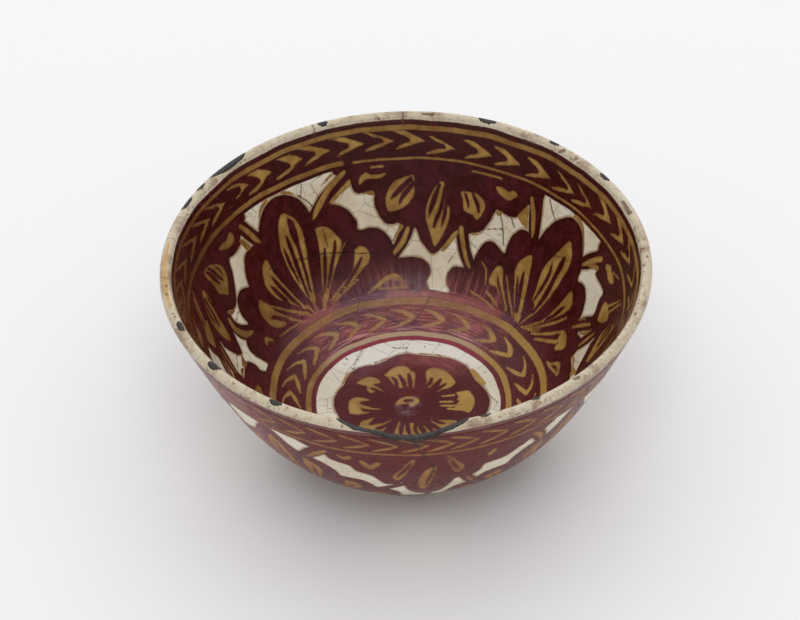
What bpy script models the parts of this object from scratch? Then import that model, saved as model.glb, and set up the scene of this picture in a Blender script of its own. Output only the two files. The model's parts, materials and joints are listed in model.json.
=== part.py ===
# A wheel-thrown bowl with painted lustre glaze, standing on a luted foot ring.
# The thin clay wall carries one glaze coat inside and one outside. Both are
# separate skins, as poured on. A third coat lies under the floor, inside the
# foot. Old chips in the lip are filled with dark grey filler, each fill seated
# in the break it closes. Lengths are in metres, angles in degrees, and +Z is up.

import math

import bmesh
import bpy
from mathutils import Matrix, Vector

# Bowl as a whole

RIM_RADIUS = 0.1000
HEIGHT = 0.0920
SEGMENTS = 64

# Wall, measured over the glaze. A pull is how far the outer curve holds its
# direction at one end before it turns towards the other. The belly is a share
# of the way down that curve.

LIP_THICKNESS = 0.0046
LIP_LEAN = 23.5
OUTER_LIP_PULL = 0.0478
OUTER_HEEL_PULL = 0.0322
HEEL_LEAN = 27.5
BELLY = 0.72
BELLY_THICKNESS = 0.0045
FLOOR_THICKNESS = 0.0070

# Foot ring

FOOT_RADIUS = 0.0420
FOOT_WIDTH = 0.0060
FOOT_HEIGHT = 0.0060
FOOT_TAPER = 0.0006
FOOT_EDGE_ROUND = 0.0008
HEEL_STEP = 0.0015
TONGUE_WIDTH = 0.0020
TONGUE_HEIGHT = 0.0012

# Glaze

GLAZE_THICKNESS = 0.0005
LIP_LAP = 0.0023
CLEARANCE = 0.0003

# Large break at the front of the rim, and the filler laid along it

FRONT_AZIMUTH = 269.0
FRONT_CHORD = 0.0420
FRONT_DEPTH = 0.0023
FRONT_TILT = 6.0
FRONT_FILL = 0.0016
FRONT_FILL_OVERRUN = 0.0040

# Long chip at the back left of the rim: azimuth, place across the lip
# (0 is its outer side, 90 its top), half length, half width and depth

LEFT_CHIP = (138.5, 66.0, 0.0120, 0.0032, 0.0022)

# Small chips, with the same five values

SMALL_CHIPS = {
    "rim_fill_right": (31.8, 74.0, 0.0029, 0.0015, 0.0013),
    "rim_fill_back_right": (49.7, 74.0, 0.0026, 0.0014, 0.0013),
    "rim_fill_back": (68.5, 82.0, 0.0043, 0.0020, 0.0015),
    "rim_fill_back_left": (110.3, 92.0, 0.0022, 0.0018, 0.0013),
    "rim_fill_left_upper": (149.0, 64.0, 0.0029, 0.0014, 0.0013),
    "rim_fill_left_middle": (156.0, 64.0, 0.0044, 0.0015, 0.0014),
    "rim_fill_left_side": (202.0, 97.0, 0.0033, 0.0013, 0.0013),
    "rim_fill_left_lower": (218.3, 102.0, 0.0028, 0.0019, 0.0014),
    "rim_fill_front_left": (238.0, 119.0, 0.0025, 0.0019, 0.0013),
    "rim_fill_front_inner": (287.5, 138.0, 0.0025, 0.0013, 0.0012),
    "rim_fill_front_right": (301.0, 140.0, 0.0019, 0.0013, 0.0012),
}

# Points along each curve

WALL_POINTS = 9
CROWN_POINTS = 5
BREAK_POINTS = 14


# Curves in the plane of the profile, where x is the radius and y the height


def bezier(controls, t):
    """Point of a cubic curve, and its direction of travel there."""
    a, b, c, d = controls
    s = 1.0 - t
    point = a * s**3 + b * 3 * t * s**2 + c * 3 * t**2 * s + d * t**3
    travel = (b - a) * s**2 + (c - b) * 2 * t * s + (d - c) * t**2
    return point, travel.normalized()


def arc(centre, radius, start, end, count):
    """Points of a circular arc between two angles."""
    points = []
    for i in range(count):
        angle = math.radians(start + (end - start) * i / (count - 1))
        points.append(centre + Vector((math.cos(angle), math.sin(angle))) * radius)
    return points


LIP_CENTRE = Vector((RIM_RADIUS - LIP_THICKNESS / 2, HEIGHT - LIP_THICKNESS / 2))
LIP_ANGLE = math.radians(LIP_LEAN)
LIP_OUTWARD = Vector((math.cos(LIP_ANGLE), -math.sin(LIP_ANGLE)))
LIP_DOWNWARD = Vector((-math.sin(LIP_ANGLE), -math.cos(LIP_ANGLE)))

HEEL_ANGLE = math.radians(HEEL_LEAN)
HEEL = Vector((FOOT_RADIUS + HEEL_STEP, FOOT_HEIGHT + HEEL_STEP))
HEEL_UPWARD = Vector((math.cos(HEEL_ANGLE), math.sin(HEEL_ANGLE)))

OUTER_TOP = LIP_CENTRE + LIP_OUTWARD * LIP_THICKNESS / 2
OUTER_CURVE = (
    OUTER_TOP,
    OUTER_TOP + LIP_DOWNWARD * OUTER_LIP_PULL,
    HEEL + HEEL_UPWARD * OUTER_HEEL_PULL,
    HEEL,
)

# Half way along, the inner curve passes the belly at the wall's thickness from
# the outer curve. That point fixes the pulls at both of its ends.

FLOOR = Vector((0.0, FOOT_HEIGHT + FLOOR_THICKNESS))
INNER_TOP = LIP_CENTRE - LIP_OUTWARD * LIP_THICKNESS / 2
BELLY_OUTSIDE, BELLY_TRAVEL = bezier(OUTER_CURVE, BELLY)
BELLY_INWARD = Vector((BELLY_TRAVEL.y, -BELLY_TRAVEL.x))
BELLY_INSIDE = BELLY_OUTSIDE + BELLY_INWARD * BELLY_THICKNESS
BOTH_PULLS = (BELLY_INSIDE - (INNER_TOP + FLOOR) / 2) * 8 / 3
INNER_LIP_PULL = BOTH_PULLS.y / LIP_DOWNWARD.y
FLOOR_PULL = BOTH_PULLS.x - LIP_DOWNWARD.x * INNER_LIP_PULL
INNER_CURVE = (
    INNER_TOP,
    INNER_TOP + LIP_DOWNWARD * INNER_LIP_PULL,
    FLOOR + Vector((FLOOR_PULL, 0.0)),
    FLOOR,
)

# Where the inside coat, lapped over the lip, meets the outside coat: shares of
# the outer curve
SEAM = LIP_LAP / (3 * OUTER_LIP_PULL)
SEAM_GAP = CLEARANCE / (3 * OUTER_LIP_PULL)


def inner_wall(depth):
    """Inner surface from the middle of the floor up to the lip, sunk by depth."""
    points = []
    for i in range(WALL_POINTS + 1):
        point, travel = bezier(INNER_CURVE, 1 - i / WALL_POINTS)
        points.append(point + Vector((-travel.y, travel.x)) * depth)
    return points


def outer_wall(depth, start, end=1.0):
    """Outer surface between two shares of its curve, sunk by depth."""
    points = []
    for i in range(WALL_POINTS):
        share = start + (end - start) * i / (WALL_POINTS - 1)
        point, travel = bezier(OUTER_CURVE, share)
        points.append(point + Vector((travel.y, -travel.x)) * depth)
    return points


def crown(depth):
    """Round top of the lip from its inner side to its outer side."""
    radius = LIP_THICKNESS / 2 - depth
    start = 180.0 - LIP_LEAN
    between = arc(LIP_CENTRE, radius, start, -LIP_LEAN, CROWN_POINTS + 2)
    return between[1:-1]


# Meshes


def collection(name, parent):
    made = bpy.data.collections.new(name)
    parent.children.link(made)
    return made


def add_object(name, mesh, where):
    made = bpy.data.objects.new(name, mesh)
    where.objects.link(made)
    return made


def turned(name, profile, closed, where):
    """Solid turned about the upright axis from a profile of radii and heights."""
    form = bmesh.new()
    rows = [form.verts.new((p.x, 0.0, p.y)) for p in profile]
    for first, second in zip(rows, rows[1:]):
        form.edges.new((first, second))
    if closed:
        form.edges.new((rows[-1], rows[0]))
    mesh = bpy.data.meshes.new(name)
    form.to_mesh(mesh)
    form.free()
    made = add_object(name, mesh, where)
    lathe = made.modifiers.new("turning", "SCREW")
    lathe.axis = "Z"
    lathe.angle = 2 * math.pi
    lathe.steps = SEGMENTS
    lathe.render_steps = SEGMENTS
    lathe.use_merge_vertices = True
    lathe.merge_threshold = 0.00001
    lathe.use_smooth_shade = True
    return made


def ellipsoid(name, place, sizes, detail, where):
    form = bmesh.new()
    shape = place @ Matrix.Diagonal((*sizes, 1.0))
    bmesh.ops.create_icosphere(form, subdivisions=detail, radius=1.0, matrix=shape)
    mesh = bpy.data.meshes.new(name)
    form.to_mesh(mesh)
    form.free()
    mesh.shade_smooth()
    return add_object(name, mesh, where)


def prism(name, outline, near, far, where):
    """Outline of x and z carried along y, from near to far."""
    form = bmesh.new()
    face = form.faces.new([form.verts.new((p.x, near, p.y)) for p in outline])
    grown = bmesh.ops.extrude_face_region(form, geom=[face])
    moved = [part for part in grown["geom"] if isinstance(part, bmesh.types.BMVert)]
    bmesh.ops.translate(form, verts=moved, vec=(0.0, far - near, 0.0))
    bmesh.ops.recalc_face_normals(form, faces=form.faces[:])
    mesh = bpy.data.meshes.new(name)
    form.to_mesh(mesh)
    form.free()
    return add_object(name, mesh, where)


def boolean(target, operation, tool):
    step = target.modifiers.new(operation.lower(), "BOOLEAN")
    step.operation = operation
    step.solver = "EXACT"
    if isinstance(tool, bpy.types.Collection):
        step.operand_type = "COLLECTION"
        step.collection = tool
    else:
        step.object = tool


def finish(target, colour, roughness):
    """Gives a part its own material."""
    material = bpy.data.materials.new(target.name)
    material.use_nodes = True
    shader = material.node_tree.nodes["Principled BSDF"]
    shader.inputs["Base Color"].default_value = (*colour, 1.0)
    shader.inputs["Roughness"].default_value = roughness
    shader.inputs["Metallic"].default_value = 0.0
    target.data.materials.append(material)


for leftover in list(bpy.data.objects):
    bpy.data.objects.remove(leftover)

bowl = collection("lustre_bowl", bpy.context.scene.collection)
cutters = collection("cutters", bpy.context.scene.collection)
breaks = collection("rim_breaks", cutters)

# Breaks in the rim. Each chip is an ellipsoid sunk into the lip, and its fill
# is the same ellipsoid made smaller all round by the clearance.


def on_lip(azimuth, across):
    """Frame on the lip: x along the rim, y across it, z out of the surface."""
    turn = Matrix.Rotation(math.radians(azimuth), 4, "Z")
    centre = Matrix.Translation((LIP_CENTRE.x, 0.0, LIP_CENTRE.y))
    roll = Matrix.Rotation(math.radians(90.0 - across), 4, "Y")
    out = Matrix.Translation((0.0, 0.0, LIP_THICKNESS / 2))
    along = Matrix.Rotation(math.radians(90.0), 4, "Z")
    return turn @ centre @ roll @ out @ along


def chip_and_fill(name, chip, detail):
    azimuth, across, half_length, half_width, depth = chip
    place = on_lip(azimuth, across)
    sizes = Vector((half_length, half_width, depth))
    room = Vector((CLEARANCE, CLEARANCE, CLEARANCE))
    ellipsoid(name + "_break", place, sizes, detail, breaks)
    return ellipsoid(name, place, sizes - room, detail, bowl)


fills = [chip_and_fill("left_rim_fill", LEFT_CHIP, 3)]
for chip_name, chip_values in SMALL_CHIPS.items():
    fills.append(chip_and_fill(chip_name, chip_values, 2))


# Front break, a long shallow scoop right through the wall, lower on its inner
# side


def scoop(half_chord, depth, overrun):
    """Arc, left to right, that dips by depth below the rim over a chord."""
    radius = (half_chord**2 + depth**2) / (2 * depth)
    centre = Vector((0.0, HEIGHT - depth + radius))
    reach = math.degrees(math.acos((radius - depth - overrun) / radius))
    return arc(centre, radius, 270.0 - reach, 270.0 + reach, BREAK_POINTS)


half = FRONT_CHORD / 2
above = LIP_THICKNESS
visible_arc = scoop(half, FRONT_DEPTH, above)
seat_arc = scoop(half + FRONT_FILL_OVERRUN, FRONT_DEPTH + FRONT_FILL, above)
fill_arc = scoop(
    half + FRONT_FILL_OVERRUN - CLEARANCE,
    FRONT_DEPTH + FRONT_FILL - CLEARANCE,
    above,
)
wall_start = RIM_RADIUS - half
wall_end = RIM_RADIUS + LIP_THICKNESS

front_break = prism("front_break", seat_arc, wall_start, wall_end, breaks)
front_fill = prism(
    "front_rim_fill",
    fill_arc + visible_arc[::-1],
    wall_start,
    wall_end,
    bowl,
)
rim_point = Matrix.Translation((0.0, RIM_RADIUS, HEIGHT))
tilt = rim_point @ Matrix.Rotation(math.radians(FRONT_TILT), 4, "X")
tilt = tilt @ rim_point.inverted()
swing = Matrix.Rotation(math.radians(FRONT_AZIMUTH - 90.0), 4, "Z")
for piece in (front_break, front_fill):
    piece.data.transform(swing @ tilt)
fills.append(front_fill)

# Form of the unbroken rim, which every fill is rubbed down flush with

rim_depth = FRONT_DEPTH + FRONT_FILL + LIP_THICKNESS
rim_share = rim_depth / (3 * OUTER_LIP_PULL)
rim_inner = [bezier(INNER_CURVE, rim_share)[0], bezier(INNER_CURVE, 0.0)[0]]
rim_outer = [bezier(OUTER_CURVE, 0.0)[0], bezier(OUTER_CURVE, rim_share)[0]]
whole_rim = turned("whole_rim", rim_inner + crown(0.0) + rim_outer, True, cutters)

for fill in fills:
    boolean(fill, "INTERSECT", whole_rim)
    finish(fill, (0.055, 0.051, 0.048), 0.55)

# Clay body: thin wall, thick floor, and a groove under the floor that takes
# the tongue of the foot ring

body_depth = GLAZE_THICKNESS + CLEARANCE
foot_inner = FOOT_RADIUS - FOOT_WIDTH
tongue_middle = FOOT_RADIUS - FOOT_WIDTH / 2
groove_half = TONGUE_WIDTH / 2 + CLEARANCE
groove_top = FOOT_HEIGHT + TONGUE_HEIGHT
underside = [
    Vector((FOOT_RADIUS, FOOT_HEIGHT)),
    Vector((tongue_middle + groove_half, FOOT_HEIGHT)),
    Vector((tongue_middle + groove_half, groove_top)),
    Vector((tongue_middle - groove_half, groove_top)),
    Vector((tongue_middle - groove_half, FOOT_HEIGHT)),
    Vector((0.0, FOOT_HEIGHT)),
]
clay_profile = inner_wall(body_depth) + crown(body_depth)
clay_profile += outer_wall(body_depth, 0.0) + underside
clay_body = turned("clay_body", clay_profile, False, bowl)
boolean(clay_body, "DIFFERENCE", breaks)
finish(clay_body, (0.50, 0.42, 0.33), 0.75)

# Foot ring: tapered a little, its standing edges rounded, with a tongue on top

ring_top = FOOT_HEIGHT - CLEARANCE
edge = FOOT_EDGE_ROUND
outer_edge = Vector((FOOT_RADIUS - FOOT_TAPER - edge, edge))
inner_edge = Vector((foot_inner + FOOT_TAPER + edge, edge))
tongue_top = groove_top - CLEARANCE
tongue_half = TONGUE_WIDTH / 2
ring_profile = [Vector((FOOT_RADIUS, ring_top))]
ring_profile += arc(outer_edge, edge, 0.0, -90.0, 4)
ring_profile += arc(inner_edge, edge, -90.0, -180.0, 4)
ring_profile += [
    Vector((foot_inner, ring_top)),
    Vector((tongue_middle - tongue_half, ring_top)),
    Vector((tongue_middle - tongue_half, tongue_top)),
    Vector((tongue_middle + tongue_half, tongue_top)),
    Vector((tongue_middle + tongue_half, ring_top)),
]
foot_ring = turned("foot_ring", ring_profile, True, bowl)
finish(foot_ring, (0.42, 0.35, 0.28), 0.8)

# Glaze inside: from the middle of the floor over the lip to the seam

over_lip = [bezier(OUTER_CURVE, 0.0), bezier(OUTER_CURVE, SEAM)]
coat_face = [p for p, _ in over_lip]
coat_back = [p + Vector((d.y, -d.x)) * GLAZE_THICKNESS for p, d in over_lip]
inside_profile = inner_wall(0.0) + crown(0.0) + coat_face
inside_profile += coat_back[::-1] + crown(GLAZE_THICKNESS)[::-1]
inside_profile += inner_wall(GLAZE_THICKNESS)[::-1]
glaze_inside = turned("glaze_inside", inside_profile, False, bowl)
boolean(glaze_inside, "DIFFERENCE", breaks)
finish(glaze_inside, (0.20, 0.07, 0.035), 0.18)

# Glaze outside: from the seam down to the heel, just above the foot

outside_profile = outer_wall(0.0, SEAM + SEAM_GAP)
outside_profile += outer_wall(GLAZE_THICKNESS, SEAM + SEAM_GAP)[::-1]
glaze_outside = turned("glaze_outside", outside_profile, True, bowl)
boolean(glaze_outside, "DIFFERENCE", breaks)
finish(glaze_outside, (0.18, 0.045, 0.035), 0.18)

# Glaze under the floor, a thin round pool inside the foot ring

pool_radius = foot_inner - CLEARANCE
pool_top = FOOT_HEIGHT - CLEARANCE
pool_profile = [
    Vector((0.0, pool_top)),
    Vector((pool_radius, pool_top)),
    Vector((pool_radius, pool_top - GLAZE_THICKNESS)),
    Vector((0.0, pool_top - GLAZE_THICKNESS)),
]
glaze_under_foot = turned("glaze_under_foot", pool_profile, False, bowl)
finish(glaze_under_foot, (0.62, 0.60, 0.54), 0.2)

for group in (cutters, breaks):
    for cutter in group.objects:
        cutter.hide_render = True
        cutter.display_type = "WIRE"
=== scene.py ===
import json
import math

import bmesh
import bpy
import numpy as np
from mathutils import Matrix, Vector, noise
from mathutils.kdtree import KDTree

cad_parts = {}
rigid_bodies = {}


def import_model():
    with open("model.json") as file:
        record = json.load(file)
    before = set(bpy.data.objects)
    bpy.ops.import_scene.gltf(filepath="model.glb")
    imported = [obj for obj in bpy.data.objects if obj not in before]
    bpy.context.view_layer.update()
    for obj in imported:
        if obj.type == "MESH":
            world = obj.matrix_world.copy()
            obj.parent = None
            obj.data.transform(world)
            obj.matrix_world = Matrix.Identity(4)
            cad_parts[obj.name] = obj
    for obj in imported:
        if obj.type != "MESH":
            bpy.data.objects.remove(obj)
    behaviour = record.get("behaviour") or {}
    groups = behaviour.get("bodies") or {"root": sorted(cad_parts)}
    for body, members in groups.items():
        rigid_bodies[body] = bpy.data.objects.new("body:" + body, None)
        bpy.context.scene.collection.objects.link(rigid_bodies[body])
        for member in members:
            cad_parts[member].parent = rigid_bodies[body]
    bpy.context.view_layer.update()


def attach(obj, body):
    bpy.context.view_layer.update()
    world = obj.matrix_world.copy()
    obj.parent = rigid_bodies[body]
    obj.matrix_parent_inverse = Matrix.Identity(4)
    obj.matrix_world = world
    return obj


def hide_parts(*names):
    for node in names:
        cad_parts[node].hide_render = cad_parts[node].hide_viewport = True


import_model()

# Clay body. It is a wheel-thrown bowl of sandy buff stonepaste, thin in the
# wall and thick in the floor. Old knocks have broken flakes out of its lip.
# Profile sizes are in millimetres: radius, then height.

RIM_RADIUS = 99.96
HEIGHT = 91.97
LIP_THICKNESS = 4.6
LIP_LEAN = 23.5
GLAZE_THICKNESS = 0.5
GAP = 0.3
LIP_CENTRE = np.array((RIM_RADIUS - LIP_THICKNESS / 2, HEIGHT - LIP_THICKNESS / 2))
OUTER_CURVE = ((99.77, 88.75), (80.76, 45.02), (71.8, 22.23), (43.5, 7.5))
INNER_CURVE = ((95.55, 90.59), (64.68, 19.56), (64.0, 13.0), (0.0, 13.0))
OUTER_PACE, INNER_PACE = 143.4, 231.6
FOOT_RADIUS, FOOT_TOP = 42.0, 6.0
TONGUE_INNER, TONGUE_OUTER, TONGUE_TOP = 38.0, 40.0, 6.9
WALL_STEP = 2.0
CLAY_COLUMNS = 256


def cubic(controls, start=0.0, end=1.0, count=400):
    a, b, c, d = (np.array(point) for point in controls)
    t = np.linspace(start, end, count)[:, None]
    return a * (1 - t)**3 + 3 * b * t * (1 - t)**2 + 3 * c * t**2 * (1 - t) + d * t**3


def lengths_along(line):
    steps = np.linalg.norm(np.diff(line, axis=0), axis=1)
    return np.concatenate(([0.0], np.cumsum(steps)))


def evenly(line, step):
    """The same line with points at an even spacing close to step."""
    along = lengths_along(line)
    places = np.linspace(0.0, along[-1], max(2, round(along[-1] / step) + 1))
    return np.column_stack([np.interp(places, along, line[:, k]) for k in (0, 1)])


def sunk(line, depth):
    """The line moved to its right by depth."""
    travel = np.gradient(line, axis=0)
    travel /= np.linalg.norm(travel, axis=1)[:, None]
    return line + np.column_stack((travel[:, 1], -travel[:, 0])) * depth


def crown(depth, count=60):
    """Round top of the lip, from its inner side to its outer side."""
    turn = np.radians(np.linspace(180 - LIP_LEAN, -LIP_LEAN, count))
    radius = LIP_THICKNESS / 2 - depth
    return LIP_CENTRE + radius * np.column_stack((np.cos(turn), np.sin(turn)))


def mesh_object(name, points, faces):
    """Piece of the bowl from points in millimetres."""
    mesh = bpy.data.meshes.new(name)
    mesh.from_pydata((np.asarray(points) * 0.001).tolist(), [], faces)
    form = bmesh.new()
    form.from_mesh(mesh)
    bmesh.ops.recalc_face_normals(form, faces=form.faces[:])
    form.to_mesh(mesh)
    form.free()
    mesh.shade_smooth()
    made = bpy.data.objects.new(name, mesh)
    bpy.context.scene.collection.objects.link(made)
    return made


def ring_faces(low, n_low, high, n_high):
    """Faces between two rings of points, whose counts are equal or differ twofold."""
    if n_low == n_high == 1:
        return []
    if n_low == 1:
        return [(low, high + i, high + (i + 1) % n_high) for i in range(n_high)]
    if n_high == 1:
        return [(high, low + i, low + (i + 1) % n_low) for i in range(n_low)]
    if n_low == n_high:
        return [
            (low + i, low + (i + 1) % n_low, high + (i + 1) % n_low, high + i)
            for i in range(n_low)
        ]
    if n_low > n_high:
        low, n_low, high, n_high = high, n_high, low, n_low
    faces = []
    for i in range(n_low):
        here, following = low + i, low + (i + 1) % n_low
        fine = [high + 2 * i, high + 2 * i + 1, high + (2 * i + 2) % n_high]
        faces.append((here, fine[1], fine[0]))
        faces.append((here, following, fine[1]))
        faces.append((following, fine[2], fine[1]))
    return faces


def turned(name, profile, columns, closed=False):
    """Form turned on the wheel. columns gives each profile point its own count."""
    points, starts = [], []
    for (radius, height), count in zip(profile, columns):
        starts.append(len(points))
        angles = np.arange(count) * 2 * math.pi / count
        points.extend(
            np.column_stack((
                radius * np.cos(angles),
                radius * np.sin(angles),
                np.full(count, height),
            ))
        )
    faces = []
    pairs = list(zip(range(len(columns)), range(1, len(columns))))
    if closed:
        pairs.append((len(columns) - 1, 0))
    for low, high in pairs:
        faces += ring_faces(starts[low], columns[low], starts[high], columns[high])
    return mesh_object(name, np.array(points), faces)


# Flakes lost from the lip: azimuth in degrees, place across the lip (0 is its
# outer side, 90 its top), half length, half width and depth of the flake.

CHIPS = {
    "left_rim_fill": (138.5, 66, 12.0, 3.2, 2.2),
    "rim_fill_right": (31.8, 74, 2.9, 1.5, 1.3),
    "rim_fill_back_right": (49.7, 74, 2.6, 1.4, 1.3),
    "rim_fill_back": (68.5, 82, 4.3, 2.0, 1.5),
    "rim_fill_back_left": (110.3, 92, 2.2, 1.8, 1.3),
    "rim_fill_left_upper": (149, 64, 2.9, 1.4, 1.3),
    "rim_fill_left_middle": (156, 64, 4.4, 1.5, 1.4),
    "rim_fill_left_side": (202, 97, 3.3, 1.5, 1.3),
    "rim_fill_left_lower": (218.3, 99, 3.1, 2.6, 1.4),
    "rim_fill_front_left": (238, 104, 2.7, 2.4, 1.3),
    "rim_fill_front_inner": (287.5, 122, 2.5, 1.5, 1.3),
    "rim_fill_front_right": (301, 120, 2.2, 1.5, 1.3),
}
FLAKE_RAGGED = 0.3
FLAKE_EDGE = ((0.6, 1), (1.5, 0.6), (3, 0.4))
# The large break at the front slopes down into the bowl. Each entry is a place
# across it, then the height from the rim at the rim's radius and 6 mm inside it.
FRONT_PASTE = [
    (-33, 4.6, 2.6), (-30, 3.3, .6), (-27, 1.9, -2), (-21.7, -1.3, -4.7),
    (-15.2, -2.1, -6.2), (-12, -3.2, -6.5), (-8.8, -4.6, -8.1), (-5.5, -5.1, -8.6),
    (-2.3, -5.5, -8.9), (.3, -5.9, -9.2), (3, -6.5, -9.1), (5.4, -5.7, -8.6),
    (7.4, -4.9, -8.2), (10.7, -3.8, -6.8), (13.9, -1.9, -5.3), (17.2, -1.1, -3.7),
    (21.7, 1, -1.6), (25, 2.8, .6), (28, 4.2, 2.6),
]
FRONT_BED = [
    (-33, 4, 1.9), (-30, 2.6, -.5), (-27, 1.2, -3.2), (-21.7, -1.7, -5.9),
    (-15.2, -2.5, -7.4), (-12, -3.6, -7.7), (-8.8, -5, -9.3), (-5.5, -5.6, -9.9),
    (-2.3, -6, -10.2), (.3, -6.4, -10.5), (3, -7, -10.4), (5.4, -6.2, -9.9),
    (7.4, -5.4, -9.4), (10.7, -4.3, -8), (13.9, -2.3, -6.6), (17.2, -1.5, -5),
    (21.7, .5, -2.8), (25, 2.2, -.6), (28, 3.5, 1.5),
]
FRONT_OPEN = [(-33, 6, 6), (28, 6, 6)]
FRONT_STEP = 0.4
FRONT_SIDES = (0.5, 7.5)
BED_RAGGED, PASTE_RAGGED = 0.25, 0.35
FRONT_NEAR, FRONT_FAR = 88.0, 103.0
FRONT_WALL = 6.0


def flake(name, chip, smaller, detail):
    """Shallow ellipsoid sunk into the lip where a flake came away."""
    azimuth, across, half_length, half_width, depth = chip
    place = Matrix.Rotation(math.radians(azimuth), 4, "Z")
    place @= Matrix.Translation((LIP_CENTRE[0], 0, LIP_CENTRE[1]))
    place @= Matrix.Rotation(math.radians(90 - across), 4, "Y")
    place @= Matrix.Translation((0, 0, LIP_THICKNESS / 2))
    place @= Matrix.Rotation(math.radians(90), 4, "Z")
    sizes = [size - smaller for size in (half_length, half_width, depth)]
    form = bmesh.new()
    bmesh.ops.create_icosphere(form, subdivisions=detail, radius=1)
    for point in form.verts:
        spot = Vector((point.co.x * half_length, point.co.y * half_width, azimuth))
        ragged = sum(share * noise.noise(spot * rate) for rate, share in FLAKE_EDGE)
        point.co.xy *= 1 + FLAKE_RAGGED * ragged
    form.transform(Matrix.Scale(0.001, 4) @ place @ Matrix.Diagonal((*sizes, 1)))
    mesh = bpy.data.meshes.new(name)
    form.to_mesh(mesh)
    form.free()
    mesh.shade_smooth()
    made = bpy.data.objects.new(name, mesh)
    bpy.context.scene.collection.objects.link(made)
    return made


def front_edge(line, ragged, seed):
    """Edge of the front break at even steps across, roughened on both sides."""
    across, *heights = np.array(line, float).T
    steps = np.arange(across[0], across[-1], FRONT_STEP)
    sides = [steps]
    for height, side in zip(heights, FRONT_SIDES):
        rough = [
            noise.noise(Vector((x * 0.7, side, seed)))
            + 0.5 * noise.noise(Vector((x * 2, side, seed)))
            for x in steps
        ]
        sides.append(np.interp(steps, across, height) + np.array(rough) * ragged)
    return np.column_stack(sides)


def front_block(name, bottom, top):
    """Block through the front wall between two sloping edges."""
    points = []
    for (x, *under), (_, *over) in zip(bottom, top):
        for radius, (outer, inner) in (
            (FRONT_NEAR, under), (FRONT_FAR, under), (FRONT_FAR, over), (FRONT_NEAR, over),
        ):
            share = (RIM_RADIUS - radius) / FRONT_WALL
            height = HEIGHT + outer + (inner - outer) * share
            points.append((x, -math.sqrt(radius**2 - x**2), height))
    last = len(points) - 4
    faces = [(3, 2, 1, 0), (last, last + 1, last + 2, last + 3)]
    for i in range(0, last, 4):
        for j in range(4):
            after = (j + 1) % 4
            faces.append((i + j, i + after, i + 4 + after, i + 4 + j))
    return mesh_object(name, points, faces)


def applied(piece, operation, tool):
    """Cuts or keeps with a Boolean and leaves the plain result on the piece."""
    step = piece.modifiers.new("cut", "BOOLEAN")
    step.operation = operation
    step.solver = "EXACT"
    step.material_mode = "TRANSFER"
    if isinstance(tool, bpy.types.Collection):
        step.operand_type = "COLLECTION"
        step.collection = tool
    else:
        step.object = tool
    seen = piece.evaluated_get(bpy.context.evaluated_depsgraph_get())
    result = bpy.data.meshes.new_from_object(seen)
    piece.modifiers.clear()
    piece.data = result


breaks = bpy.data.collections.new("rim_breaks")
bpy.context.scene.collection.children.link(breaks)
seat = front_edge(FRONT_BED, BED_RAGGED, 1)
cutters = [front_block("front_break", seat, front_edge(FRONT_OPEN, 0, 0))]
cutters += [flake(name + "_break", chip, 0, 4) for name, chip in CHIPS.items()]
broken_edge = bpy.data.materials.new("broken_edge")
for cutter in cutters:
    cutter.data.materials.append(broken_edge)
    breaks.objects.link(cutter)
    bpy.context.scene.collection.objects.unlink(cutter)

below_glaze = GLAZE_THICKNESS + GAP
inner_face = evenly(cubic(INNER_CURVE, 1, 0), WALL_STEP)
outer_face = evenly(cubic(OUTER_CURVE), WALL_STEP)
groove_far, groove_near = TONGUE_OUTER + GAP, TONGUE_INNER - GAP
groove_top = TONGUE_TOP + GAP
groove = [
    (FOOT_RADIUS, FOOT_TOP), (groove_far, FOOT_TOP), (groove_far, groove_top),
    (groove_near, groove_top), (groove_near, FOOT_TOP), (0, FOOT_TOP),
]
clay_profile = np.vstack((
    sunk(inner_face, below_glaze),
    crown(below_glaze, 14)[1:-1],
    sunk(outer_face, below_glaze),
    groove,
))
clay_profile[0, 0] = 0.0
clay_columns = [CLAY_COLUMNS] * len(clay_profile)
clay_columns[0] = clay_columns[-1] = 1
clay = turned("clay", clay_profile, clay_columns)
applied(clay, "DIFFERENCE", breaks)
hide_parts("clay_body")
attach(clay, "root")


class Shade:
    """A value or colour in a finish, on which sums can be written."""

    def __init__(self, socket):
        self.socket = socket

    def __add__(self, other):
        return worked("ADD", self, other)

    def __sub__(self, other):
        return worked("SUBTRACT", self, other)

    def __mul__(self, other):
        return worked("MULTIPLY", self, other)

    def __rsub__(self, other):
        return worked("SUBTRACT", other, self)

    def __abs__(self):
        return worked("ABSOLUTE", self)

    __radd__ = __add__
    __rmul__ = __mul__


def fed(socket, value):
    """Links a value into a socket, or sets it there."""
    if isinstance(value, Shade):
        socket.id_data.links.new(value.socket, socket)
    elif isinstance(value, tuple) and len(value) == 3 and socket.type == "RGBA":
        socket.default_value = (*value, 1.0)
    else:
        socket.default_value = value


def worked(operation, *values):
    tree = next(value for value in values if isinstance(value, Shade)).socket.id_data
    node = tree.nodes.new("ShaderNodeMath")
    node.operation = operation
    for socket, value in zip(node.inputs, values):
        fed(socket, value)
    return Shade(node.outputs[0])


def least(*values):
    made = values[0]
    for value in values[1:]:
        made = worked("MINIMUM", made, value)
    return made


def most(*values):
    made = values[0]
    for value in values[1:]:
        made = worked("MAXIMUM", made, value)
    return made


def tone(red, green, blue):
    """Linear colour from the 0 to 255 values of a colour chart."""
    parts = [part / 255 for part in (red, green, blue)]
    return tuple(
        part / 12.92 if part < 0.04045 else ((part + 0.055) / 1.055)**2.4
        for part in parts
    )


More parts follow.
